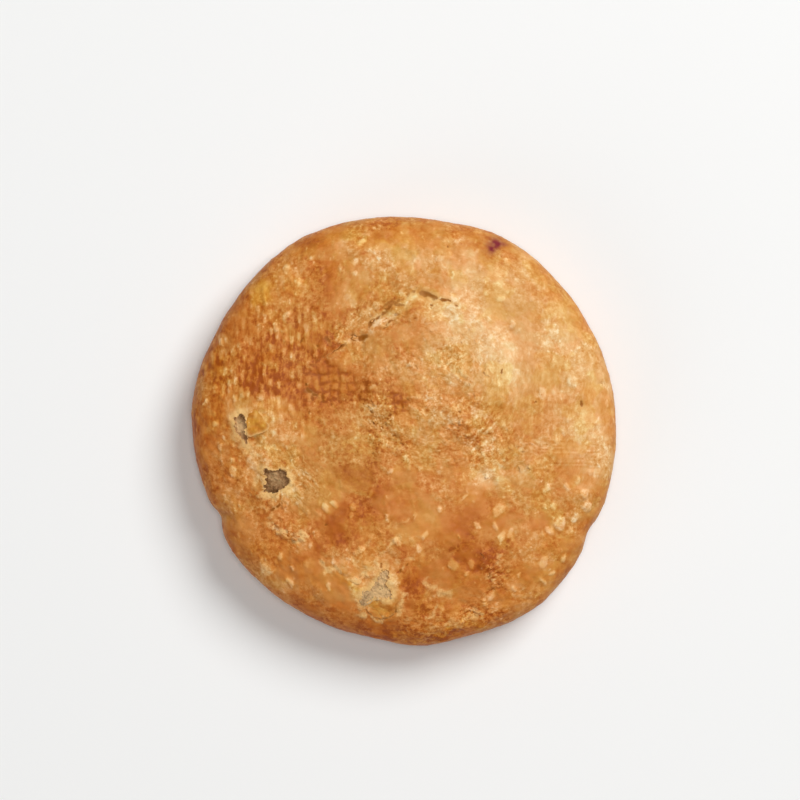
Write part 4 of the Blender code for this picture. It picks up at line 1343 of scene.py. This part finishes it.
# %% The flap and scattered flakes
# Outline of the standing flap, and how many chance flakes there are and how large.
FLAP = ((-36.9, 3.3), (-36.1, 4.5), (-34.6, 4.9), (-33.8, 3.9), (-33.1, 3.2), (-32.7, 2.4), (-32.0, 1.8),
        (-31.4, 1.1), (-31.7, 0.2), (-33.1, -0.6), (-34.6, -1.0), (-36.0, -1.5), (-36.7, -0.4), (-36.6, 1.2))
FLAKE_COUNT = 90
FLAKE_RADIUS = (0.35, 0.85)


def scattered_sheets(count, seed):
    """Small ragged sheets where the skin is flaky: an ellipse whose radius is shaken by three waves."""
    draw = np.random.default_rng(seed)
    angle = np.linspace(0, 2 * np.pi, 26, endpoint=False)
    tried = draw.uniform(-47, 47, (30 * count, 2))
    wanted = zone(tried, "flakes") > draw.uniform(0.15, 1.0, len(tried))
    wanted &= np.linalg.norm(tried, axis=1) < 46.5
    for corners, _ in OPENINGS.values():
        wanted &= outside_of(tried, corners) > 1.5
    found = []
    for spot in tried[wanted][:count]:
        radius = draw.uniform(*FLAKE_RADIUS) * np.ones_like(angle)
        for waves, strength in ((2, 0.25), (3, 0.22), (5, 0.16), (9, 0.08)):
            radius *= 1 + strength * np.cos(waves * angle + draw.uniform(0, 2 * np.pi))
        outline = spot + radius[:, None] * np.column_stack([np.cos(angle), np.sin(angle)])
        found.append((spot, outline, draw.uniform(0, 360), draw.uniform(0.02, 0.10), draw.uniform(-0.1, 0.0)))
    spots = np.array([spot for spot, *_ in found])
    plain = crown_point(spots)
    features = Features(plain)
    local = relief_height(plain, features) - features.waves - features.boss
    return [
        sheet(outline, level - 0.04, ahead, rise, 0.05, 0.12, shift, rings=4, pale_edge=0.3)
        for (_, outline, ahead, rise, shift), level in zip(found, local)
    ]


flakes = [
    # The flap's pale forward edge is torn cream and partly painted light, as that edge faces away from the lamp.
    sheet(smooth_line(FLAP, closed=True), 0.50, -60, 0.35, 0.10, 0.25, 0.26, rings=12, pale_edge=0.9, gold=1.0,
          grain=0.3),
    *scattered_sheets(FLAKE_COUNT, 7),
]
loose_flakes = layer_piece("loose_flakes", flakes)
print(loose_flakes.name, "has", len(loose_flakes.data.polygons), "faces in", len(flakes), "sheets")

# %% [markdown]
# ## The filling
# Ground lentils and spices make a crumbly paste. Its core runs all through the pastry and is only seen
# through the openings, so it is coarse, and a mound of fine crumbs stands on it under each opening.
# A crumb is a dome again, in two sizes, and the paste draws back a little from the torn dough.


# %% Core and mounds
def crumbly(points, seed):
    """Two sizes of crumbs and a fine grain, in mm, and how pale each point is."""
    warp = 0.12 * np.column_stack([noise(points, 0.5, seed + k) for k in range(3)])
    large, large_label = domes(points + warp, 1.3, 0.9, seed + 10, 0.35, 0.6)
    small, small_label = domes(points + warp, 0.6, 0.8, seed + 20, 0.3, 0.6)
    grain = noise(points, 0.35, seed + 30)
    height = 0.34 * np.sqrt(large) + 0.14 * np.sqrt(small) + 0.05 * grain
    return height, 0.5 * large * large_label + 0.3 * small * small_label + 0.1 * grain


# Name, then the middle, half width and strength of its paler and its darker parts.
# These are painted light and painted shade from the opening's torn edge, partly the paste's own colour.
MOUND_LIGHTS = {
    "upper": (((-38.6, 0.6), 1.2, 0.25), ((-37.8, 3.0), 0.9, -0.5), ((-37.1, -1.8), 0.7, -0.3)),
    "middle": (((-30.1, -12.2), 1.3, 0.16), ((-30.4, -9.6), 1.4, 0.18), ((-30.3, -14.4), 1.4, -0.42),
               ((-27.6, -11.4), 1.0, -0.10), ((-32.0, -12.2), 0.8, -0.16)),
    "lower": (((-5.6, -37.4), 2.0, 0.20), ((-9.6, -39.9), 0.9, -0.35), ((-8.7, -38.3), 0.6, -0.25),
              ((-3.0, -38.6), 0.7, -0.3), ((-6.6, -36.2), 0.5, -0.3)),
}
MOUND_TONES = {"upper": 0.26, "middle": 0.63, "lower": 0.15}
# Distance of a mound's rings in mm.
MOUND_STEP = 0.17


def filling_mound(name, corners, depth):
    """A closed lens of filling: level under the opening, and falling away where the torn edge begins."""
    middle = np.mean(corners, axis=0)
    reach = np.linalg.norm(np.array(corners) - middle, axis=1).max() + 0.9
    rings = int(reach / MOUND_STEP)
    share = np.concatenate([np.arange(rings + 1) / rings, (1, 0.6, 0)])
    top = np.arange(len(share)) <= rings
    counts = np.where(share > 0, np.maximum((2 * np.pi * share * rings).astype(int), 6), 1)
    ring, turn = ring_places(counts)
    across = middle + (share[ring] * reach)[:, None] * np.column_stack([np.cos(turn), np.sin(turn)])
    plain = crown_point(across)
    height, pale = crumbly(plain, 300)
    out = outside_of(across, corners)
    drawn_back, fall = smooth_step((out + 0.55) / 0.5), smooth_step((out - 0.3) / 0.8)
    drawn_back *= 1.0 if depth > 0 else 0.15
    lift = np.where(top[ring], height * (1 - fall) - depth - 0.12 * drawn_back - 1.6 * fall, -depth - 3.2)
    # Painted light and shade over the filling, as listed above.
    light = np.zeros(len(across))
    for spot, width, strength in MOUND_LIGHTS[name]:
        light += strength * np.exp(-(np.linalg.norm(across - np.array(spot), axis=1) / width) ** 2)
    # The paste is painted darker where it draws back under the torn edge, a painted shade.
    finish = {"tone": MOUND_TONES[name] - light - 0.5 * pale + 0.12 * drawn_back}
    return lifted(across, lift), stack_of_rings(counts), finish


core_points, core_triangles = turned_skin(*CORE_SPACING, CRUST_WALL + FILLING_GAP)
core_height, core_pale = crumbly(core_points, 400)
core_points -= plain_normals(core_points) * (0.5 - core_height)[:, None] * 0.6
core = make_piece("filling_core", *joined([(core_points, core_triangles, {"tone": 0.6 - 0.5 * core_pale})]))
mounds = make_piece(
    "filling_mounds", *joined([filling_mound(name, *opening) for name, opening in OPENINGS.items()])
)
print(core.name, len(core.data.polygons), "faces,", mounds.name, len(mounds.data.polygons), "faces")

# %% [markdown]
# ## The look of fried dough
# The colour comes from the attributes: the tone picks it from a ramp of colours between cream and brown.
# Fine noise is added to the tone in the material, because it is finer than the mesh. Scales count cells to the metre.
# The blush multiplies the colour, torn dough mixes in cream, and cracks mix in a deep brown, a painted shade that also
# darkens pits and the print's lines.
# Browned skin has a thin film of oil and shines a little, and torn dough is dry.


# %% Helpers for materials
def linear(red, green, blue):
    """A colour given as 0 to 255 in a picture, as the linear colour that a shader takes."""
    share = np.array([red, green, blue]) / 255
    curve = np.where(share <= 0.04045, share / 12.92, ((share + 0.055) / 1.055) ** 2.4)
    return (*[float(value) for value in curve], 1.0)


# Cells of a texture to the metre for one to the millimetre.
PER_MM = 1000.0


class Recipe:
    """A new material, with a short method for each kind of node that it is made of."""

    def __init__(self, name, shine):
        self.material = bpy.data.materials.new(name)
        self.material.use_nodes = True
        self.nodes, self.links = self.material.node_tree.nodes, self.material.node_tree.links
        self.shader = self.nodes["Principled BSDF"]
        self.shader.inputs["Specular IOR Level"].default_value = shine
        self.place = self.node("TexCoord").outputs["Object"]

    def node(self, kind, inputs=None, **settings):
        """Adds a node, sets its options, and joins or sets its inputs by name or number."""
        node = self.nodes.new("ShaderNode" + kind)
        for key, value in settings.items():
            setattr(node, key, value)
        for key, value in (inputs or {}).items():
            if isinstance(value, bpy.types.NodeSocket):
                self.links.new(value, node.inputs[key])
            else:
                node.inputs[key].default_value = value
        return node

    def attribute(self, name):
        """The number that each point of the mesh carries under this name."""
        return self.node("Attribute", attribute_name=name).outputs["Fac"]

    def calculated(self, operation, *values, clamp=False):
        return self.node("Math", dict(enumerate(values)), operation=operation, use_clamp=clamp).outputs[0]

    def times(self, first, second, plus=None, clamp=False):
        """first * second, or first * second + plus."""
        if plus is None:
            return self.calculated("MULTIPLY", first, second, clamp=clamp)
        return self.calculated("MULTIPLY_ADD", first, second, plus, clamp=clamp)

    def vector(self, operation, *values, output=0):
        return self.node("VectorMath", dict(enumerate(values)), operation=operation).outputs[output]

    def noise(self, place, scale, detail, roughness=0.5, output="Fac"):
        inputs = {"Vector": place, "Scale": scale, "Detail": detail, "Roughness": roughness}
        return self.node("TexNoise", inputs).outputs[output]

    def gate(self, value, low, high):
        """0 where the value is below `low`, 1 above `high`, and a smooth step between them."""
        inputs = {"Value": value, "From Min": low, "From Max": high}
        return self.node("MapRange", inputs, interpolation_type="SMOOTHSTEP").outputs["Result"]

    def ramp(self, factor, stops):
        """The colour between two stops, each a place from 0 to 1 and a colour of a picture."""
        node = self.node("ValToRGB", {"Fac": factor})
        elements = node.color_ramp.elements
        elements[0].position, elements[1].position = stops[0][0], stops[-1][0]
        elements[0].color, elements[1].color = linear(*stops[0][1]), linear(*stops[-1][1])
        for position, colour in stops[1:-1]:
            elements.new(position).color = linear(*colour)
        return node.outputs["Color"]

    def mixed(self, factor, first, second, blend="MIX"):
        """first * (1 - factor) + second * factor, or first * second in place of the second."""
        inputs = {"Factor": factor, 6: first, 7: second}
        return self.node("Mix", inputs, data_type="RGBA", blend_type=blend).outputs[2]

    def tinted(self, factor, colour, tint):
        """The colour, multiplied by the tint as far as the factor says."""
        return self.mixed(factor, colour, self.mixed(1.0, colour, tint, "MULTIPLY"))

    def finished(self, colour, roughness, relief, bump):
        """Joins colour, roughness and a bump of 0.1 mm to the shader, and gives the material."""
        inputs = {"Height": relief, "Strength": bump, "Distance": 0.1 * MM}
        normal = self.node("Bump", inputs).outputs["Normal"]
        for name, value in (("Base Color", colour), ("Roughness", roughness), ("Normal", normal)):
            self.links.new(value, self.shader.inputs[name])
        return self.material


print("a middle grey, 128 in a picture, is", round(linear(128, 128, 128)[0], 3), "in linear light")


# %% Colours of the dough
# Tone, and the colour there.
TONE_COLOURS = (
    (0.00, (246, 211, 164)),
    (0.12, (238, 193, 138)),
    (0.30, (224, 166, 104)),
    (0.50, (209, 142, 72)),
    (0.70, (196, 121, 50)),
    (0.88, (180, 100, 33)),
    (1.00, (160, 80, 20)),
)
CREAM = (235, 190, 122)
# A deep brown painted as shade into cracks, pits and the gaps between crumbs, and onto the print's lines.
CREVICE_SHADE_AND_PRINT = (146, 82, 8)
STAIN = (126, 38, 46)
RED_BLUSH = (1.0, 0.905, 0.835, 1.0)
STRAW_BLUSH = (0.98, 1.08, 1.12, 1.0)
GOLD = (1.0, 1.0, 0.48, 1.0)
# Sizes in mm of the drawn-out lines, and how many times their noise changes in a turn round the pinch.
FIBRE_WIDTH = 0.55
FIBRE_TURNS = 9.0
THREAD = (0.62, 2.0, 2.0)

print(len(TONE_COLOURS), "colours from cream to brown")


# %% Textures of the dough
def warped(recipe, place, scale, amount):
    """The place moved about by noise, so that cells lose their round outlines."""
    shake = recipe.noise(place, scale, 1.0, output="Color")
    centred = recipe.vector("SUBTRACT", shake, (0.5, 0.5, 0.5))
    moved = recipe.node("VectorMath", {0: centred, "Scale": amount}, operation="SCALE").outputs[0]
    return recipe.vector("ADD", place, moved)


def bubbles(recipe, place, scale, radius, chance):
    """Domes 1 - (distance / radius)^2 over a chance share of the cells' centres, each of its own strength."""
    cells = recipe.node("TexVoronoi", {"Vector": place, "Scale": scale})
    away = recipe.calculated("DIVIDE", cells.outputs["Distance"], radius)
    dome = recipe.calculated("SUBTRACT", 1.0, recipe.times(away, away), clamp=True)
    label = recipe.node("SeparateColor", {"Color": cells.outputs["Color"]}).outputs["Red"]
    strength = recipe.calculated("DIVIDE", recipe.calculated("SUBTRACT", label, 1 - chance), chance, clamp=True)
    return recipe.times(recipe.calculated("SQRT", dome), strength)


def drawn_lines(recipe, place, shake_scale, shake, roughness, dark, pale):
    """1 on the dark and -1 on the pale lines of a noise on a drawn-out place that is shaken a little."""
    moved = recipe.noise(recipe.place, shake_scale, 2.0, output="Color")
    found = recipe.noise(recipe.vector("MULTIPLY_ADD", moved, (shake,) * 3, place), 1.0, 2.0, roughness)
    return recipe.calculated("SUBTRACT", recipe.gate(found, *dark), recipe.gate(found, *pale))


def fibres(recipe):
    """Lines along circles round the pinch: their place is (distance / width, k cos(turn), k sin(turn))."""
    centre = (*((np.array(PINCH_CENTRE) - PLAN_MIDDLE) / PER_MM), 0.0)
    flat = recipe.vector("MULTIPLY", recipe.vector("SUBTRACT", recipe.place, centre), (1.0, 1.0, 0.0))
    distance = recipe.vector("LENGTH", flat, output="Value")
    turned = recipe.node("SeparateXYZ", {0: recipe.vector("NORMALIZE", flat)})
    bent = recipe.node("CombineXYZ", {
        0: recipe.times(distance, PER_MM / FIBRE_WIDTH),
        1: recipe.times(turned.outputs[0], FIBRE_TURNS),
        2: recipe.times(turned.outputs[1], FIBRE_TURNS),
    }).outputs[0]
    return drawn_lines(recipe, bent, 0.35 * PER_MM, 6.0, 0.6, (0.46, 0.40), (0.54, 0.60))


def weave(recipe):
    """Lines up the picture, for the upright threads of the cloth: their place is scaled by 1 / THREAD."""
    drawn = recipe.vector("MULTIPLY", recipe.place, [PER_MM / size for size in THREAD])
    return drawn_lines(recipe, drawn, 0.3 * PER_MM, 2.0, 0.55, (0.46, 0.40), (0.53, 0.58))


print("lines in the dough, mm wide:", FIBRE_WIDTH, "round the pinch and", THREAD[0], "up the picture")


# %% The dough's material
def dough_textures(recipe):
    """Noises and cells that the colour and the bump share: two of grain, bubbles, specks, flecks and crumbs."""
    shaken = warped(recipe, recipe.place, 1.3 * PER_MM, 0.5 * MM)
    broken = warped(recipe, shaken, 2.6 * PER_MM, 0.6 * MM)
    cells = recipe.node("TexVoronoi", {"Vector": broken, "Scale": 1.9 * PER_MM}).outputs["Distance"]
    return SimpleNamespace(
        coarse=recipe.noise(recipe.place, 1.1 * PER_MM, 2.0, 0.6),
        fine=recipe.noise(recipe.place, 2.6 * PER_MM, 3.0, 0.75),
        pale=bubbles(recipe, shaken, 1.15 * PER_MM, 0.42, 0.55),
        specks=bubbles(recipe, shaken, 0.75 * PER_MM, 0.16, 0.22),
        flecks=recipe.noise(shaken, PER_MM, 3.0, 0.6),
        crumb=recipe.times(recipe.attribute("crumb"), recipe.calculated("SUBTRACT", cells, 0.42)),
    )


def dough_tone(recipe, on):
    """The points' tone plus grain, painted shade between crumbs, fibres and threads, each as strong as its attribute
    says.
    """
    times, attribute, gate = recipe.times, recipe.attribute, recipe.gate
    grainy = times(on.coarse, 0.20)
    for layer, strength in (
        (on.fine, 0.38),
        (gate(on.flecks, 0.53, 0.57), -0.17),
        (gate(on.flecks, 0.46, 0.42), 0.15),
        (on.pale, -0.20),
        (on.specks, 0.45),
    ):
        grainy = times(layer, strength, grainy)
    grainy = recipe.calculated("SUBTRACT", grainy, 0.27)
    # The gaps between crumbs are painted darker, as shade.
    tone = times(on.crumb, 0.9, times(grainy, attribute("grain"), attribute("tone")))
    tone = times(times(fibres(recipe), attribute("fibre")), 0.15, tone)
    return times(times(weave(recipe), attribute("upright")), 0.14, tone)


def dough_colour(recipe, on):
    """The ramp's colour for the tone, with gold, blush, torn dough, a painted deep brown shade in cracks, pits and the
    gaps between crumbs (also on print lines), and the stain laid over it in turn.
    """
    times, attribute, gate = recipe.times, recipe.attribute, recipe.gate
    golden = gate(recipe.noise(recipe.place, 0.16 * PER_MM, 2.0, 0.6), 0.49, 0.57)
    golden = times(golden, 0.29, times(attribute("gold"), 0.64), clamp=True)
    colour = recipe.tinted(golden, recipe.ramp(dough_tone(recipe, on), TONE_COLOURS), GOLD)
    blush = times(on.coarse, 1.2, recipe.calculated("SUBTRACT", attribute("blush"), 0.6))
    colour = recipe.tinted(times(blush, 1.0, clamp=True), colour, RED_BLUSH)
    colour = recipe.tinted(times(blush, -1.0, clamp=True), colour, STRAW_BLUSH)
    torn = gate(times(attribute("torn"), recipe.calculated("ADD", on.fine, 0.5)), 0.06, 0.95)
    # No cream in the gaps between crumbs, so that they keep their painted shade.
    torn = times(on.crumb, -1.8, times(torn, 0.80), clamp=True)
    colour = recipe.mixed(torn, colour, linear(*CREAM))
    # Painted shade: a deep brown in cracks and pits, which also darkens the print's lines.
    groove = attribute("groove")
    line = gate(times(groove, times(on.fine, 0.9, 0.55)), 0.28, 0.48)
    char = times(attribute("char"), times(line, 0.50, times(groove, 0.50)))
    # Painted shade: the same deep brown goes into the gaps between crumbs.
    shade_between_crumbs = times(recipe.calculated("SUBTRACT", on.crumb, 0.08), 3.5, clamp=True)
    colour = recipe.mixed(times(shade_between_crumbs, 0.4, char, clamp=True), colour, linear(*CREVICE_SHADE_AND_PRINT))
    return recipe.mixed(times(attribute("stain"), 1.0, clamp=True), colour, linear(*STAIN))


def fried_dough():
    """Colour as above. Torn dough is rougher than browned skin, and bubbles and grain stand up in the bump."""
    recipe = Recipe("fried dough", shine=0.16)
    on = dough_textures(recipe)
    roughness = recipe.times(on.coarse, 0.25, recipe.times(recipe.attribute("torn"), 0.2, 0.38))
    relief = recipe.times(on.pale, 0.9, recipe.times(on.coarse, 0.6, on.fine))
    relief = recipe.times(on.crumb, -0.9, recipe.times(relief, recipe.attribute("grain")))
    return recipe.finished(dough_colour(recipe, on), roughness, relief, bump=0.7)


dough = fried_dough()
print(dough.name, "is made of", len(dough.node_tree.nodes), "nodes")

# %% [markdown]
# ## The look of the filling
# The paste is a dull straw brown with green specks of herb, and dry, so it hardly shines.
# Its tone comes from the mesh, as the dough's does: crumbs are pale on top and dark between.
# The specks are the middles of scattered cells, which costs less than placing each of them.

# %% The filling's material
FILLING_COLOURS = (
    (0.00, (212, 172, 118)),
    (0.35, (184, 146, 100)),
    (0.65, (148, 108, 66)),
    (1.00, (104, 68, 30)),
)
HERB = (96, 104, 52)


def spiced_lentils():
    """The ramp's colour for tone + 0.6 * noise - 0.3, and half a speck's colour near the middles of its cells."""
    recipe = Recipe("spiced lentils", shine=0.3)
    grain = recipe.noise(recipe.place, 2.5 * PER_MM, 4.0, 0.7)
    tone = recipe.calculated("SUBTRACT", recipe.times(grain, 0.6, recipe.attribute("tone")), 0.3)
    cells = recipe.node("TexVoronoi", {"Vector": recipe.place, "Scale": 0.9 * PER_MM}).outputs["Distance"]
    speck = recipe.calculated("LESS_THAN", cells, 0.16)
    colour = recipe.mixed(recipe.times(speck, 0.5), recipe.ramp(tone, FILLING_COLOURS), linear(*HERB))
    return recipe.finished(colour, recipe.times(grain, 0.2, 0.6), grain, bump=0.5)


lentils = spiced_lentils()
for piece in (crust, torn_lips, loose_flakes):
    piece.data.materials.append(dough)
for piece in (core, mounds):
    piece.data.materials.append(lentils)
print(lentils.name, "is made of", len(lentils.node_tree.nodes), "nodes")

# %% [markdown]
# ## Pieces and nodes
# The imported part has two solids, the crust and the filling, and the pieces above stand in for them.
# Both lie still on the one body `root`.

# %% Hand the pieces over to the imported part
for piece, node, finish_slot in (
    (crust, "crust", "fried_dough"),
    (torn_lips, "crust", "fried_dough"),
    (loose_flakes, "crust", "fried_dough"),
    (core, "filling", "spiced_filling"),
    (mounds, "filling", "spiced_filling"),
):
    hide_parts(node)
    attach(piece, "root")
print("pieces stand for the nodes crust and filling")

# %% [markdown]
# ## The studio
# A wide soft light from the upper right gives the shadow at the lower left. A second one straight above
# keeps the floor bright up to the rim. A low weak one from the lower left returns a little light into the
# shadow, and a weak sky fills the rest.
# The camera looks straight down with a long lens, so that the pastry's sides don't show.

# %% Floor, light and camera
# In mm: a pixel at the rim's level, the camera's height, and the middle of the picture in the plan.
PIXEL = 0.2347
PICTURE_PIXELS = 800
CAMERA_LEVEL = 1200.0
PICTURE_MIDDLE = (-1.17, 7.04)
# In metres.
FLOOR_HALF = 3.0
FLOOR_COLOUR = (0.90, 0.90, 0.89, 1.0)
SENSOR_WIDTH = 36.0
# Azimuth and elevation in degrees, distance and size in metres, and power in watts.
LIGHTS = {
    "window": (47.0, 48.0, 2.0, 1.15, 32.0),
    "ceiling": (47.0, 89.0, 2.0, 0.55, 10.8),
    "return": (225.0, 20.0, 2.0, 1.50, 7.0),
}
SKY_STRENGTH = 0.13


def make_floor():
    """A pale square, which the part stands on and which isn't one of its pieces."""
    corners = [(x * FLOOR_HALF, y * FLOOR_HALF, 0) for x, y in ((-1, -1), (1, -1), (1, 1), (-1, 1))]
    mesh = bpy.data.meshes.new("floor")
    mesh.from_pydata(corners, [], [(0, 1, 2, 3)])
    floor = bpy.data.objects.new("floor", mesh)
    bpy.context.scene.collection.objects.link(floor)
    material = bpy.data.materials.new("pale floor")
    material.use_nodes = True
    shader = material.node_tree.nodes["Principled BSDF"]
    shader.inputs["Base Color"].default_value = FLOOR_COLOUR
    shader.inputs["Roughness"].default_value = 0.8
    shader.inputs["Specular IOR Level"].default_value = 0.2
    floor.data.materials.append(material)


def make_light(name, azimuth, elevation, distance, size, power):
    """A soft disc of light that looks at the middle of the floor from its azimuth and elevation."""
    data = bpy.data.lights.new(name, "AREA")
    data.shape = "DISK"
    data.size = size
    data.energy = power
    light = bpy.data.objects.new(name, data)
    bpy.context.scene.collection.objects.link(light)
    azimuth, elevation = math.radians(azimuth), math.radians(elevation)
    light.location = (
        distance * math.cos(elevation) * math.cos(azimuth),
        distance * math.cos(elevation) * math.sin(azimuth),
        distance * math.sin(elevation),
    )
    light.rotation_euler = (math.pi / 2 - elevation, 0, azimuth + math.pi / 2)


def make_sky():
    """The same weak white light from every side."""
    world = bpy.data.worlds.new("studio")
    world.use_nodes = True
    world.node_tree.nodes["Background"].inputs["Color"].default_value = (1.0, 1.0, 1.0, 1.0)
    world.node_tree.nodes["Background"].inputs["Strength"].default_value = SKY_STRENGTH
    bpy.context.scene.world = world


def make_camera():
    """Looks straight down. Its focal length is sensor width * distance / width of the picture at the rim's level."""
    data = bpy.data.cameras.new("camera")
    data.sensor_width = SENSOR_WIDTH
    data.lens = SENSOR_WIDTH * (CAMERA_LEVEL - RIM_LEVEL) / (PICTURE_PIXELS * PIXEL)
    data.clip_end = 10.0
    camera = bpy.data.objects.new("camera", data)
    bpy.context.scene.collection.objects.link(camera)
    middle = np.array(PICTURE_MIDDLE) - PLAN_MIDDLE
    camera.location = (middle[0] * MM, middle[1] * MM, CAMERA_LEVEL * MM)
    bpy.context.scene.camera = camera


make_floor()
for name, settings in LIGHTS.items():
    make_light(name, *settings)
make_sky()
make_camera()
bpy.context.scene.view_settings.view_transform = "Standard"
print("camera at", [round(value, 3) for value in bpy.context.scene.camera.location])
